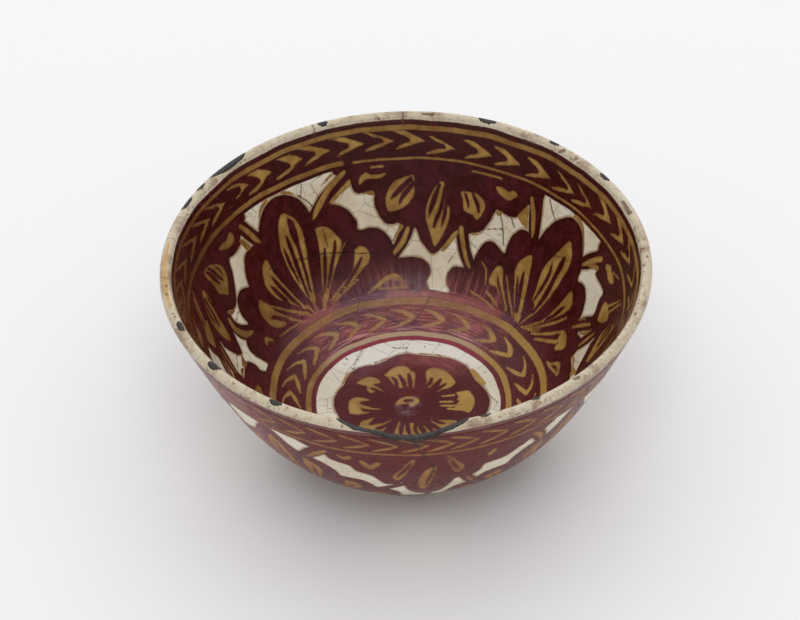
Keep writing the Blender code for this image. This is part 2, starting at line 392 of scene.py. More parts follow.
class Finish:
    """One surface finish of the bowl, and the nodes that it is mixed from."""

    def __init__(self, name):
        self.material = bpy.data.materials.new(name)
        self.material.use_nodes = True
        self.tree = self.material.node_tree
        self.shader = self.tree.nodes["Principled BSDF"]
        self.place = self.node("TexCoord", output="Object")

    def node(self, kind, settings=None, output=0, **values):
        made = self.tree.nodes.new("ShaderNode" + kind)
        for name, setting in (settings or {}).items():
            setattr(made, name, setting)
        for name, value in values.items():
            fed(made.inputs[name.replace("_", " ")], value)
        return Shade(made.outputs[output])

    def cells(self, per_metre, shift, place=None):
        """The place measured in cells, so many to the metre."""
        return self.node(
            "Mapping", Vector=place or self.place, Location=(shift,) * 3,
            Scale=(per_metre,) * 3,
        )

    def noise(self, per_metre, detail=2.0, rough=0.5, shift=0.0):
        """Soft random values around 0.5, so many to the metre."""
        place = self.cells(per_metre, shift)
        return self.node("TexNoise", Vector=place, Scale=1.0, Detail=detail, Roughness=rough)

    def net(self, per_metre, shift=0.0, bent_place=None):
        """Distance to the nearest line of a random net, in cells."""
        place = self.cells(per_metre, shift, bent_place)
        settings = {"feature": "DISTANCE_TO_EDGE"}
        return self.node("TexVoronoi", settings, Vector=place, Scale=1.0)

    def spots(self, per_metre, shift=0.0):
        """Distance to the nearest of many scattered points, in cells."""
        place = self.cells(per_metre, shift)
        return self.node("TexVoronoi", {"feature": "F1"}, Vector=place, Scale=1.0)

    def rise(self, value, low, high):
        """0 below low, 1 above high, and smooth between."""
        settings = {"interpolation_type": "SMOOTHSTEP"}
        values = {"Value": value, "From_Min": low, "From_Max": high}
        return self.node("MapRange", settings, **values)

    def fall(self, value, low, high):
        return 1 - self.rise(value, low, high)

    def colours(self, share, below, above, way="MIX"):
        """Colour that goes from below to above as share goes from 0 to 1."""
        made = self.tree.nodes.new("ShaderNodeMix")
        made.data_type = "RGBA"
        made.blend_type = way
        fed(made.inputs[0], share)
        fed(made.inputs[6], below)
        fed(made.inputs[7], above)
        return Shade(made.outputs[2])

    def layers(self, colour, *coats):
        """Lays coats over a colour, each given as its share and its own colour."""
        for share, coat in coats:
            colour = self.colours(share, colour, coat)
        return colour

    def bumps(self, height, millimetres, strength=1.0):
        made = self.node("Bump", Height=height, Distance=millimetres * 0.001, Strength=strength)
        self.set(Normal=made)

    def set(self, **values):
        for name, value in values.items():
            fed(self.shader.inputs[name.replace("_", " ")], value)

    def onto(self, piece):
        """Gives the finish to the piece's first slot."""
        if piece.data.materials:
            piece.data.materials[0] = self.material
        else:
            piece.data.materials.append(self.material)


def stonepaste(name, body, dirt):
    """Open sandy clay: grains, darker specks and rubbed-in dirt."""
    made = Finish(name)
    grains = made.noise(2600, 3, 0.65)
    patches = made.noise(90, 4, 0.6, 7.0)
    specks = made.fall(made.spots(900, 3.0), 0.10, 0.22)
    colour = made.layers(
        body,
        (made.rise(patches, 0.42, 0.62), dirt),
        (made.rise(grains, 0.45, 0.75) * 0.35, tone(226, 212, 186)),
        (specks * 0.55, tone(92, 70, 52)),
    )
    made.set(Base_Color=colour, Roughness=0.72 + 0.2 * grains)
    made.bumps(grains + 0.4 * patches - 0.6 * specks, 0.15)
    return made


clay_finish = stonepaste("stonepaste_body", tone(206, 188, 158), tone(158, 136, 106))
clay_finish.onto(clay)

# Foot ring. A low ring of the same clay, trimmed on the wheel and luted under
# the floor by a tongue. Its clay is coloured darker and greyer than the body's.

FOOT_WIDTH = 6.0
WAIST_HEIGHT, WAIST_DEPTH = 3.2, 0.25
FOOT_TAPER = 0.6
EDGE_ROUND = 0.8


def quarter(centre, radius, start, count=7):
    turn = np.radians(np.linspace(start, start - 90, count))
    return np.array(centre) + radius * np.column_stack((np.cos(turn), np.sin(turn)))


ring_top = FOOT_TOP - GAP
foot_inner = FOOT_RADIUS - FOOT_WIDTH
ring_profile = np.vstack((
    [(FOOT_RADIUS, ring_top), (FOOT_RADIUS - WAIST_DEPTH, WAIST_HEIGHT)],
    quarter((FOOT_RADIUS - FOOT_TAPER - EDGE_ROUND, EDGE_ROUND), EDGE_ROUND, 0),
    quarter((foot_inner + FOOT_TAPER + EDGE_ROUND, EDGE_ROUND), EDGE_ROUND, -90),
    [(foot_inner + WAIST_DEPTH, WAIST_HEIGHT), (foot_inner, ring_top)],
    [(TONGUE_INNER, ring_top), (TONGUE_INNER, TONGUE_TOP)],
    [(TONGUE_OUTER, TONGUE_TOP), (TONGUE_OUTER, ring_top)],
))
foot = turned("foot", ring_profile, [CLAY_COLUMNS] * len(ring_profile), True)
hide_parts("foot_ring")
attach(foot, "root")
foot_finish = stonepaste("stonepaste_foot", tone(176, 158, 132), tone(118, 100, 80))
foot_finish.onto(foot)

# Glaze inside. Thick white tin glaze is poured in and laps over the lip. The
# ornament is painted on it in dark red lustre, with ochre left or laid between,
# and the whole is fired to a gloss.

SEAM_LAP = 2.3
ROW, LAP_ROW = 0.9, 0.6
FINE_COLUMNS = 800
FEWER_COLUMNS = ((0.1, 1), (12, 100), (24, 200), (50, 400))
RIM_START = 123.0
SAME_PLACE = 0.02
WELD = 0.000004


def chipped_coat(name, face, counts, thickness, rim_row, back_counts):
    """Coat of glaze turned in two parts, so that only its rim is cut by the breaks."""
    back = sunk(face, thickness)
    if face[0, 0] == 0:
        back[0, 0] = 0
    fine, low, lowest = back_counts
    last = len(face) - 1
    rim_rows = list(range(last, rim_row, -3)) + [rim_row]
    low_rows = list(range(rim_row, 0, -12)) + [0]
    middle = (face[rim_row] + back[rim_row]) / 2
    rim = turned(
        name,
        np.vstack((face[rim_row:], back[rim_rows], [middle])),
        counts[rim_row:] + [fine // 2] + [low] * (len(rim_rows) - 1) + [fine // 2],
        True,
    )
    applied(rim, "DIFFERENCE", breaks)
    low_counts = [low] + [low // 2] * (len(low_rows) - 2) + [lowest]
    rest = turned(
        name + "_rest",
        np.vstack((back[low_rows], face[: rim_row + 1])),
        low_counts + counts[: rim_row + 1],
    )
    form = bmesh.new()
    form.from_mesh(rim.data)
    loose = [
        point for point in form.verts
        if abs(math.hypot(point.co.x, point.co.y) * 1000 - middle[0]) < SAME_PLACE
        and abs(point.co.z * 1000 - middle[1]) < SAME_PLACE
    ]
    bmesh.ops.delete(form, geom=loose, context="VERTS")
    form.from_mesh(rest.data)
    bmesh.ops.remove_doubles(form, verts=form.verts[:], dist=WELD)
    bmesh.ops.recalc_face_normals(form, faces=form.faces[:])
    form.to_mesh(rim.data)
    form.free()
    bpy.data.objects.remove(rest)
    return rim


wall_line = evenly(cubic(INNER_CURVE, 1, 0, 2000), ROW)
crown_line = crown(0, 17)[1:-1]
lap_line = evenly(cubic(OUTER_CURVE, 0, SEAM_LAP / OUTER_PACE, 40), LAP_ROW)
face_line = np.vstack((wall_line, crown_line, lap_line))
face_columns = [
    next((count for end, count in FEWER_COLUMNS if far < end), FINE_COLUMNS)
    for far in lengths_along(face_line)
]
rim_row = int(np.searchsorted(lengths_along(face_line), RIM_START))
glaze = chipped_coat(
    "inside_glaze", face_line, face_columns, GLAZE_THICKNESS, rim_row,
    (FINE_COLUMNS, FINE_COLUMNS // 4, 1),
)
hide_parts("glaze_inside")
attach(glaze, "root")


LINE_STEPS = 5
PORTION = 4000
FARTHEST, OUT_OF_REACH = 5.0, 999
MARGIN = 4.0
ACROSS = 1.6


def smooth_line(points, closed):
    """Smooth line through the painter's points. A third value is half its width."""
    points = np.array(points, float)
    if closed:
        ring = np.vstack((points[-1:], points, points[:2]))
    else:
        ends = 2 * points[0] - points[1], 2 * points[-1] - points[-2]
        ring = np.vstack((ends[0], points, ends[1]))
    t = np.linspace(0, 1, LINE_STEPS + 1)[:-1, None]
    pieces = [
        (2 * b + (c - a) * t + (2 * a - 5 * b + 4 * c - d) * t**2
         + (3 * b - a - 3 * c + d) * t**3) / 2
        for a, b, c, d in zip(ring[:-3], ring[1:-2], ring[2:-1], ring[3:])
    ]
    return np.vstack((*pieces, points[:1] if closed else points[-1:]))


def to_line(places, line):
    """Distance from each place to a line, less half the line's width."""
    start, step = line[:-1, :2], np.diff(line[:, :2], axis=0)
    span = np.maximum((step**2).sum(1), 1e-9)
    found = []
    for part in np.array_split(places, len(places) // PORTION + 1):
        away = part[:, None] - start
        share = np.clip((away * step).sum(2) / span, 0, 1)
        far = np.linalg.norm(away - share[..., None] * step, axis=2)
        if line.shape[1] == 3:
            far -= line[:-1, 2] + share * np.diff(line[:, 2])
        found.append(far.min(1))
    return np.concatenate(found)


def within(places, line):
    """True for the places inside a closed line."""
    found = []
    (x0, y0), (x1, y1) = line[:-1].T, line[1:].T
    rise = np.where(y1 == y0, 1e-9, y1 - y0)
    for part in np.array_split(places, len(places) // PORTION + 1):
        x, y = part[:, :1], part[:, 1:]
        passed = ((y0 > y) != (y1 > y)) & (x < x0 + (y - y0) / rise * (x1 - x0))
        found.append(passed.sum(1) % 2 == 1)
    return np.concatenate(found)


def painted(field, places, shape, taken_out=False):
    """Lays one brush shape into a field of distances, or takes it out of it.

    Pairs are the outline of a patch, and threes are a stroke with half widths.
    """
    closed = len(shape[0]) == 2
    line = smooth_line(shape, closed)
    low, high = line[:, :2].min(0) - MARGIN, line[:, :2].max(0) + MARGIN
    near = np.flatnonzero(((places > low) & (places < high)).all(1))
    if not len(near):
        return
    far = to_line(places[near], line)
    if closed:
        far = np.where(within(places[near], line), -far, far)
    if taken_out:
        field[near] = np.maximum(field[near], -far)
    else:
        field[near] = np.minimum(field[near], far)


def around(azimuths, runs, middle, across=ACROSS):
    """Places in the flat plane of one motif: across it, and along the wall."""
    return np.column_stack(((((middle - azimuths) + 180) % 360 - 180) * across, runs))


def motif_painted(red, ochre, places, motif):
    """Lays one motif's red and ochre, and takes its veins out of the ochre."""
    for part, field, taken_out in (
        ("red", red, False), ("ochre", ochre, False), ("veins", ochre, True),
    ):
        for shape in motif.get(part, []):
            painted(field, places, shape, taken_out)


def line_painted(field, azimuths, runs, line):
    """Draws a thin line given as azimuths, places along the wall and half widths."""
    start = line[0][0]
    shape = [((start - far) * ACROSS, run, *rest) for far, run, *rest in line]
    painted(field, around(azimuths, runs, start), shape)


def runs_of(points, line):
    """How far along the profile each point of the coat lies, in millimetres."""
    dense = evenly(line, 0.1)
    along = lengths_along(dense)
    tree = KDTree(len(dense))
    for i, (radius, height) in enumerate(dense):
        tree.insert((radius, height, 0), i)
    tree.balance()
    radii = np.hypot(points[:, 0], points[:, 1])
    return np.array([
        along[tree.find((radius, height, 0))[1]]
        for radius, height in zip(radii, points[:, 2])
    ])


def places_on(piece, line):
    """Each point of a coat, its azimuth and how far along the wall it lies."""
    points = np.array([vertex.co for vertex in piece.data.vertices]) * 1000
    azimuths = np.degrees(np.arctan2(points[:, 1], points[:, 0]))
    return points, azimuths, runs_of(points, line)


def stored(piece, **fields):
    """Keeps each field on the coat, where its finish can read it."""
    for name, values in fields.items():
        kept = np.clip(values, -FARTHEST, OUT_OF_REACH).astype(np.float32)
        made = piece.data.attributes.new(name, "FLOAT", "POINT")
        made.data.foreach_set("value", kept)


# Four motifs go round the wall, each of them twice: two palmettes that stand on
# the well and two that hang from the border, all joined by stems. Places are
# millimetres across the motif's middle, then along the wall from the floor.

STANDING_BROAD = {
    "at": (127, 307),
    "red": [
        [(-63, 63.3), (-65.8, 70.7), (-65.5, 74), (-62.8, 76.7), (-52.8, 79.3),
         (-52.8, 84.7), (-51.5, 88.7), (-48.8, 91.3), (-44.8, 92.7), (-40.8, 92),
         (-37.5, 90.5), (-36.8, 91), (-36.1, 94), (-34.1, 98), (-31, 102), (-27, 103.3),
         (-23, 103.2), (-20, 102.3), (-17, 107.5), (-14.5, 111), (-11, 114), (-7, 116),
         (-3, 116.6), (1, 116), (5, 114), (8.5, 111), (10.5, 107.5), (11.8, 104),
         (12.8, 99.5), (15, 100.5), (18, 103), (22, 104.5), (26, 103.5), (30, 101),
         (33, 97.5), (34.8, 94), (35, 90.5), (41.1, 90.7), (45.7, 89.7), (49.1, 87.3),
         (51.7, 84), (52.4, 82), (54.4, 76.7), (62.4, 76.7), (68.4, 76), (72.4, 74),
         (74.1, 70.4), (72, 66.5), (67.5, 61), (0, 60), (-63, 60)],
        [(-26.5, 118, 2.5), (-24.5, 112, 3.2), (-22, 107.5, 3.3), (-18.5, 103, 3)],
        [(35, 116.2, 3.6), (27, 111, 3.4), (20, 106.5, 3.3), (14, 101.5, 3)],
    ],
    "ochre": [
        [(-2, 108.5), (.5, 107), (2.5, 105), (4.5, 102), (5.6, 98), (5.5, 94), (5, 90),
         (4.2, 86), (3.2, 82), (2.2, 77), (1, 72), (-1, 67), (-4, 68), (-6, 73),
         (-7.5, 78), (-8.2, 81), (-8.8, 85), (-9, 93.5), (-8.3, 97.5), (-7, 101.5),
         (-5.5, 105), (-3.5, 107.5)],
        [(-20, 94.5), (-18.8, 92.5), (-18.3, 87.5), (-16, 81.5), (-13, 75), (-9.5, 68),
         (-8.5, 66), (-11, 67), (-16, 71), (-20.5, 74.6), (-23.5, 77), (-25.8, 81),
         (-26.7, 84.8), (-25.6, 88.8), (-23, 92.8)],
        [(-35, 82.2), (-33, 80), (-31, 77.5), (-29, 73.5), (-25, 69.5), (-20, 65.5),
         (-24, 67.5), (-29, 66.3), (-33, 66.8), (-36.5, 68.8), (-39, 72.5),
         (-39.4, 77), (-37.6, 80.9)],
        [(-51, 67.5, .8), (-48, 68.5, 1.2), (-44.6, 66, .6)],
        [(-24, 67, .5), (-17, 63, .4)],
        [(12.7, 95.6), (15.5, 96.1), (19, 95), (22, 91.8), (24.8, 87.3), (23, 83.5),
         (19.5, 78.5), (15.5, 74), (10, 68.5), (6, 65), (5, 66), (7, 72), (9.7, 78.5),
         (11.6, 85), (12.5, 91)],
        [(31, 82), (34, 83.3), (37.5, 82), (39.2, 79), (38, 76), (35.5, 74.5),
         (31, 71.8), (24, 68), (16, 64.8), (22, 69), (27, 73.5), (30, 78)],
        [(57.5, 66.8, .5), (52, 68.2, 1.6), (46, 67.3, 1.3), (40, 65, .8),
         (34, 62.8, .4)],
        [(26.5, 86, .4), (18, 77.5, .6), (8, 66.5, .4)],
        [(33, 76, .4), (22, 70, .6), (8, 64.3, .4)],
        [(30, 69.5, .4), (20, 66.2, .5), (9, 62.8, .4)],
        [(-30, 76.5, .4), (-20, 69.3, .6), (-9, 64, .4)],
        [(-38, 64.5, .4), (-28, 63.6, .5), (-14, 62.2, .4)],
        [(42, 63.8, .4), (52, 63.4, .5), (60, 64.2, .4)],
        [(-2, 69, .9), (-3, 65.5, .5), (-3.6, 62, .3)],
        [(-8, 67, .8), (-6, 64, .5), (-4.6, 62, .3)], [(4.5, 67, .5), (1, 62, .3)],
        [(9, 68, .7), (5, 65, .5), (2, 62, .3)], [(16, 66, .5), (8, 62.6, .3)],
        [(-16, 66, .4), (-8, 62.4, .3)],
        [(-25.9, 114.1, 1), (-23, 109.9, 1.2), (-20.9, 105.6, 1.2), (-18.7, 102.4, .4)],
        [(-30, 109.5), (-27.5, 108.8), (-25.8, 106), (-25, 103.5), (-27.5, 103),
         (-29, 106)],
        [(-15.5, 111), (-13, 114.8), (-9.5, 117.4), (-5, 117.6), (-8, 116.3),
         (-12, 113.8), (-14.8, 110.8)],
        [(-1, 117.4), (2, 117.4), (5, 115.8), (7, 113.8), (4.5, 114.6), (1.5, 116.2)],
        [(32, 116.6, 1), (24.9, 112, 1.3), (19.9, 107.7, 1.4), (15.6, 103.4, 1.4),
         (13.1, 100.6, .5)],
        [(34, 113.2), (34, 110.3), (30, 108.3), (25, 105), (22.5, 105.2),
         (27, 108.5), (31, 111.3)],
        [(20.6, 113.4, .5), (25.6, 116.6, .8)],
    ],
    "veins": [
        [(.2, 105.3, .6), (.8, 102, 1.8), (.8, 98, 2), (1, 92, 1.2), (.7, 86, 1),
         (.2, 80, .9), (-1.3, 72, .7)],
        [(-3.6, 98.5, .5), (-3.4, 94, 1.1), (-3.4, 88, 1.2), (-3.5, 80, 1.1),
         (-4, 70, .6)],
        [(-7.2, 94, .4), (-7, 90, 1), (-6.8, 86, 1), (-6.3, 82, .7), (-5.8, 77, .5)],
        [(-20.6, 86.5, .5), (-19.3, 83, 1.1), (-17.3, 78.5, 1.3), (-15, 73.5, 1.2),
         (-12, 68.5, .8)],
        [(-23.8, 83.5, .4), (-22.5, 81, 1.1), (-20.8, 77.5, 1.3), (-18.5, 73.5, 1.1)],
        [(-35, 72.6, .5), (-32, 71.8, 1.1), (-28.5, 69.3, 1.3), (-25, 67, 1)],
        [(15, 86.5, .5), (13.8, 82.5, 1), (12, 78, 1.1), (9.5, 73, 1), (7, 69, .7)],
        [(21.5, 88, .6), (20.3, 84.5, 1), (17.5, 80, 1), (14, 75, 1), (10, 70, .7)],
        [(34.5, 78.5, .5), (31.5, 75.5, .9), (27, 72, .9), (21, 68.3, .6)],
        [(54, 67, .3), (49, 66.8, .6), (44, 65.3, .4)],
    ],
    "cracks": [
        [(-22, 89.5), (-16, 90)], [(-2, 87), (5, 85), (13, 84.5), (22, 82.7),
                                   (32, 80.5), (42, 79)],
        [(11.5, 117), (9.5, 112)], [(8, 113), (12, 109), (14, 106)],
        [(16.5, 95), (17, 86)],
    ],
}

STANDING_TALL = {
    "at": (39, 219),
    "red": [
        [(-53, 60), (-53, 63.5), (-56, 66), (-57, 70), (-55.7, 72), (-53, 74.3),
         (-43.7, 75.3), (-42.4, 80), (-40.9, 84), (-38.9, 87), (-36.4, 88.7),
         (-33.4, 88.7), (-30.4, 87.5), (-26.4, 85.8), (-26, 88), (-25.5, 92),
         (-24, 95.5), (-21, 98.5), (-18, 99.2), (-15, 98.5), (-12.5, 97.5),
         (-9.8, 97.3), (-9, 100), (-7.5, 104), (-4.5, 109), (-1, 112.5), (3, 115.3),
         (6.5, 116), (10, 115.3), (14, 113), (17, 109.5), (19.5, 106), (21.5, 102.5),
         (23, 100), (23.5, 96.5), (25, 95.8), (28, 96.8), (31, 96.8), (34, 95.5),
         (37, 93), (39, 90), (40, 87.5), (40.5, 86), (46.1, 82), (50.1, 82.7),
         (53.5, 82), (55.5, 80), (56.7, 76.7), (56.8, 74.7), (64.8, 74.2),
         (69, 74.5), (73, 72.7), (75.1, 70), (75.7, 68), (74.5, 65.5), (72, 60),
         (10, 60)],
        [(-18, 118, 3.5), (-16, 110, 3.6), (-14.5, 104, 3.5), (-12.5, 98, 3)],
        [(35, 116, 4), (29, 110, 3.6), (24, 105.5, 3.3), (20.5, 102, 2.5)],
        [(37.5, 79.3, 3), (42.8, 84, 3.2), (48.1, 88.7, 3.4), (53.5, 92.7, 3.3),
         (61, 96.2, 2.8)],
    ],
    "ochre": [
        [(9, 106.5), (11.5, 104), (13.5, 101), (14.2, 97), (13.5, 91), (12.3, 84),
         (10.8, 78), (9, 73), (7.2, 68.5), (6.3, 69), (4.3, 73), (1.2, 74), (.3, 78),
         (-.8, 84), (-.6, 89), (.8, 93), (3, 97), (5, 101), (6.8, 104.5)],
        [(-11, 90.4), (-9.4, 89), (-8, 84), (-6, 78), (-3.5, 71.5), (-.8, 66), (.2, 63),
         (-1.5, 62.8), (-5.5, 65.2), (-9, 68), (-12.5, 72.5), (-15.5, 77.5),
         (-17.2, 81), (-16.5, 84.5), (-14.5, 87.5)],
        [(-26.3, 80), (-24, 78.7), (-22.8, 75.5), (-20.5, 72.3), (-16, 68), (-11, 64.2),
         (-12.5, 63.6), (-18, 66), (-22, 69), (-25, 71), (-28, 70.8), (-30.3, 72),
         (-30.3, 75.5), (-28.6, 78.8)],
        [(-30, 67.5, .5), (-25, 66, .6), (-18, 63.5, .4)],
        [(24, 90), (26.5, 88.5), (29, 85.5), (28.3, 82.5), (25.5, 78.5), (22, 74.5),
         (17, 70), (13, 66.5), (12.5, 66.8), (15.5, 70.5), (17.5, 74), (19.5, 79),
         (21, 84), (22.3, 88.3)],
        [(30.4, 79.9, .5), (26.4, 75.6, .7), (21.4, 71.3, .7), (15, 66.3, .5),
         (8, 62.5, .4)],
        [(35.5, 76), (40.5, 75.5), (45.3, 72.3), (42, 68.8), (39.5, 67.5), (37.5, 68.8),
         (38, 70.3), (35.5, 70.8), (34.5, 72.5), (33.3, 74.6)],
        [(34.5, 75, .6), (31, 72.3, .8), (27, 69.3, .8), (20, 65.3, .6), (15, 62.8, .4)],
        [(36, 70, 1), (31, 67.3, .9), (25, 64.5, .7), (20, 62.4, .5)],
        [(46.4, 63.6), (49.2, 66.6), (52, 67.9), (55.3, 67.7), (58.7, 66.6),
         (60.7, 65.2), (57.6, 64), (53.1, 62.9), (48.1, 62), (42, 61.9), (44.2, 62.7)],
        [(-38, 79, .4), (-34, 76, .5), (-32, 70, .4)],
        [(-21, 77, .4), (-14, 69.5, .5), (-5, 63, .4)],
        [(18.5, 66.5, .4), (13, 63.8, .5), (5, 62, .4)],
        [(-40, 65.5, .4), (-30, 64, .5), (-20, 62, .4)],
        [(7, 70, .9), (4.5, 66, .6), (2.5, 62.2, .3)], [(0, 65, .6), (.6, 62, .3)],
        [(13.5, 68, .7), (9, 64.5, .5), (6, 62.2, .3)], [(-6, 66, .5), (-2, 62.2, .3)],
        [(-19.6, 113.4, .9), (-17.5, 109.1, 1.2), (-15.7, 104.9, 1.2),
         (-14.3, 100.6, 1.1), (-13.7, 98, .6)],
        [(-20.5, 109.5), (-22.5, 107), (-24.5, 103.5), (-21, 101), (-17.8, 100),
         (-18.3, 103), (-19.3, 107)],
        [(5, 117.6), (8.5, 118), (12.5, 116.5), (15.5, 113.3), (18.3, 109.3),
         (20.5, 105), (20, 105.8), (17.3, 109), (14.3, 112.5), (11, 115), (7.5, 116.2),
         (5, 116.2)],
        [(32.5, 112.7, 1.2), (27.9, 108.8, 1.3), (24.3, 104.9, 1.1), (22.1, 102.7, .6)],
        [(33.2, 108.4, 1), (29.3, 106.6, .8), (26.4, 104.9, .4)],
        [(39.5, 80.7, .8), (44.1, 84.7, .9), (48.1, 88, .9), (51.5, 91, .6)],
        [(40.1, 85.3, .4), (43.5, 88, .5), (45.8, 89.3, .3)],
        [(48.1, 83.3, .6), (52.1, 86, .8), (54.1, 88.7, .7), (56.1, 91, .4)],
        [(57, 75.6, .7), (61, 76, .8), (64.5, 75, .5)],
        [(65, 75.5), (70, 77), (73, 78), (70, 73)],
    ],
    "veins": [
        [(9.4, 98.8, .7), (9, 95, 1.6), (8.5, 90, 1.4), (8, 80, 1.6), (7.2, 75, 1.2),
         (6.3, 70, .6)],
        [(3.3, 92.5, .4), (4.2, 88, 1.1), (3.8, 83, 1.1), (3, 78, .9), (2.2, 74, .5)],
        [(-11.5, 82, .6), (-10.5, 78, 1.2), (-8, 72, 1.2), (-4.5, 66, .9)],
        [(-14, 79, .4), (-12, 75, .7), (-9, 70, .8), (-6, 66, .7)],
        [(-26, 75, .5), (-24, 72.5, .7), (-19, 68, .8), (-14, 64.5, .6)],
        [(24.8, 82.8, .4), (23.5, 80.5, .9), (21, 76, 1), (17.5, 71.5, .7)],
        [(57, 65.5, .3), (53, 65, .8), (48, 63.3, .5)],
    ],
    "cracks": [
        [(-10.5, 117), (-7.5, 113), (-4, 110)],
        [(2, 96), (8, 98), (12.5, 99), (17, 104.5)],
        [(-17, 72.5), (-4, 72.3)],
    ],
}

HANGING_BROAD = {
    "at": (80.5, 260.5),
    "red": [
        [(-42, 120), (-40.2, 112), (-39.5, 108.5), (-38, 106.5), (-35, 106),
         (-29.8, 106.2), (-30, 101), (-29, 97), (-27, 93.5), (-25, 91.5),
         (-21.5, 90.9), (-18.5, 91.3), (-10, 89), (-7.3, 84), (-4, 80.7),
         (-1.3, 78.7), (.7, 78.3), (2.5, 79.3), (5, 81.7), (8, 85), (10.7, 88.5),
         (19.5, 89.7), (23, 90.8), (25, 92), (27, 94.5), (28.5, 97.5), (30, 101.5),
         (31, 102.9), (36, 102), (39, 101.9), (41.4, 102.8), (42.4, 104),
         (44.9, 108), (45.9, 110), (47, 120)],
        [(-13.5, 92, 3.8), (-15.5, 86, 3.4), (-18.5, 81.5, 3), (-22, 77.5, 2.5)],
        [(14, 92, 3.6), (15.5, 86.5, 3.4), (18, 81, 3.3), (22, 76, 3)],
    ],
    "ochre": [
        [(1, 81.7), (3.4, 84.7), (5.4, 88.7), (7, 93.3), (7.3, 97.5), (6.2, 100),
         (4.6, 104), (3.2, 110), (.8, 109.5), (-2, 105.3), (-3.8, 101), (-4.8, 97),
         (-4.6, 93.5), (-3.4, 90), (-1.8, 86.5), (-.3, 82.8)],
        [(-23, 96.6), (-19, 97), (-15.3, 98.5), (-12.5, 100.8), (-10.5, 104.5),
         (-10.5, 108), (-11, 112.3), (-15.3, 111.5), (-20, 109.5), (-23, 106),
         (-24.3, 102), (-24.2, 99)],
        [(-36.3, 110), (-36, 112.3), (-34, 114.3), (-32, 114.8), (-30.7, 113.7),
         (-26.7, 113.3), (-23, 114.1), (-25.3, 112), (-28.7, 111.7), (-32, 112),
         (-34, 111.3), (-35.3, 110.1)],
        [(21.4, 96.2), (23.8, 99.5), (24.5, 102.8), (22.8, 105.6), (19.5, 107.3),
         (15, 107.5), (11.6, 106.8), (13.2, 103.5), (14.3, 99), (18.5, 98)],
        [(39.4, 112.2), (37, 113.4), (34.5, 112.2), (32, 113), (28, 112.8),
         (29.5, 110.5), (32.5, 109), (35.8, 108.6), (38, 110.2)],
        [(-30, 116.8, .5), (-24.7, 116.8, .5)], [(16, 116.8, .5), (30, 116.8, .5)],
        [(-13.7, 88.7, 1), (-16, 84, 1.3), (-19, 80.7, 1.2), (-21.3, 78.7, 1)],
        [(-17, 90, 1), (-22, 83.5, .5)],
        [(14, 91, 1.2), (15.3, 86.7, 1.3), (17.3, 82, 1.1), (20, 77.3, 1),
         (22.3, 75.3, .6)],
        [(5.5, 80.5, 1), (8, 83.5, 1.2), (10.5, 87, 1.2), (12, 89, .8)],
        [(-35, 106.2), (-30, 106.4), (-29.8, 104.3), (-32, 104.8)],
        [(30.5, 102.3), (34, 102.6), (32, 100.5)],
        [(20.5, 89.6, .5), (24, 90.4, .5), (26.5, 92.2, .3)],
    ],
    "veins": [
        [(-3, 94.7, .4), (-2, 98.7, 1.2), (-.7, 102.7, 1.2), (1.3, 108.7, .8)],
        [(-.3, 90, .6), (.7, 93.3, 1), (2.3, 97.3, .9), (3.3, 102, .9), (3.7, 108, .6)],
        [(3.7, 90.7, .6), (4.7, 95.3, .9), (5, 100, .8), (4.8, 104, .5)],
        [(-21.7, 102.3, .5), (-19.3, 104.3, 1.1), (-16, 107.3, 1.2), (-12, 110.7, 1)],
        [(-17.7, 100, .5), (-16.3, 102.7, 1), (-14, 105.3, 1.1), (-11, 108.7, .9)],
        [(16.3, 100.7, .4), (15.7, 102.7, .7), (14.7, 105, .7), (13.7, 106.5, .6)],
        [(21.7, 99.7, .6), (21, 102, .9), (19.3, 104.7, .9), (17.7, 106.7, .7)],
    ],
    "cracks": [
        [(25, 92.5), (32, 94.5), (36, 95.5)],
        [(33, 101.5), (36, 95.5), (38.5, 88.5)],
        [(39, 101.5), (42, 98)], [(9.3, 75.3), (12.7, 80)],
    ],
}

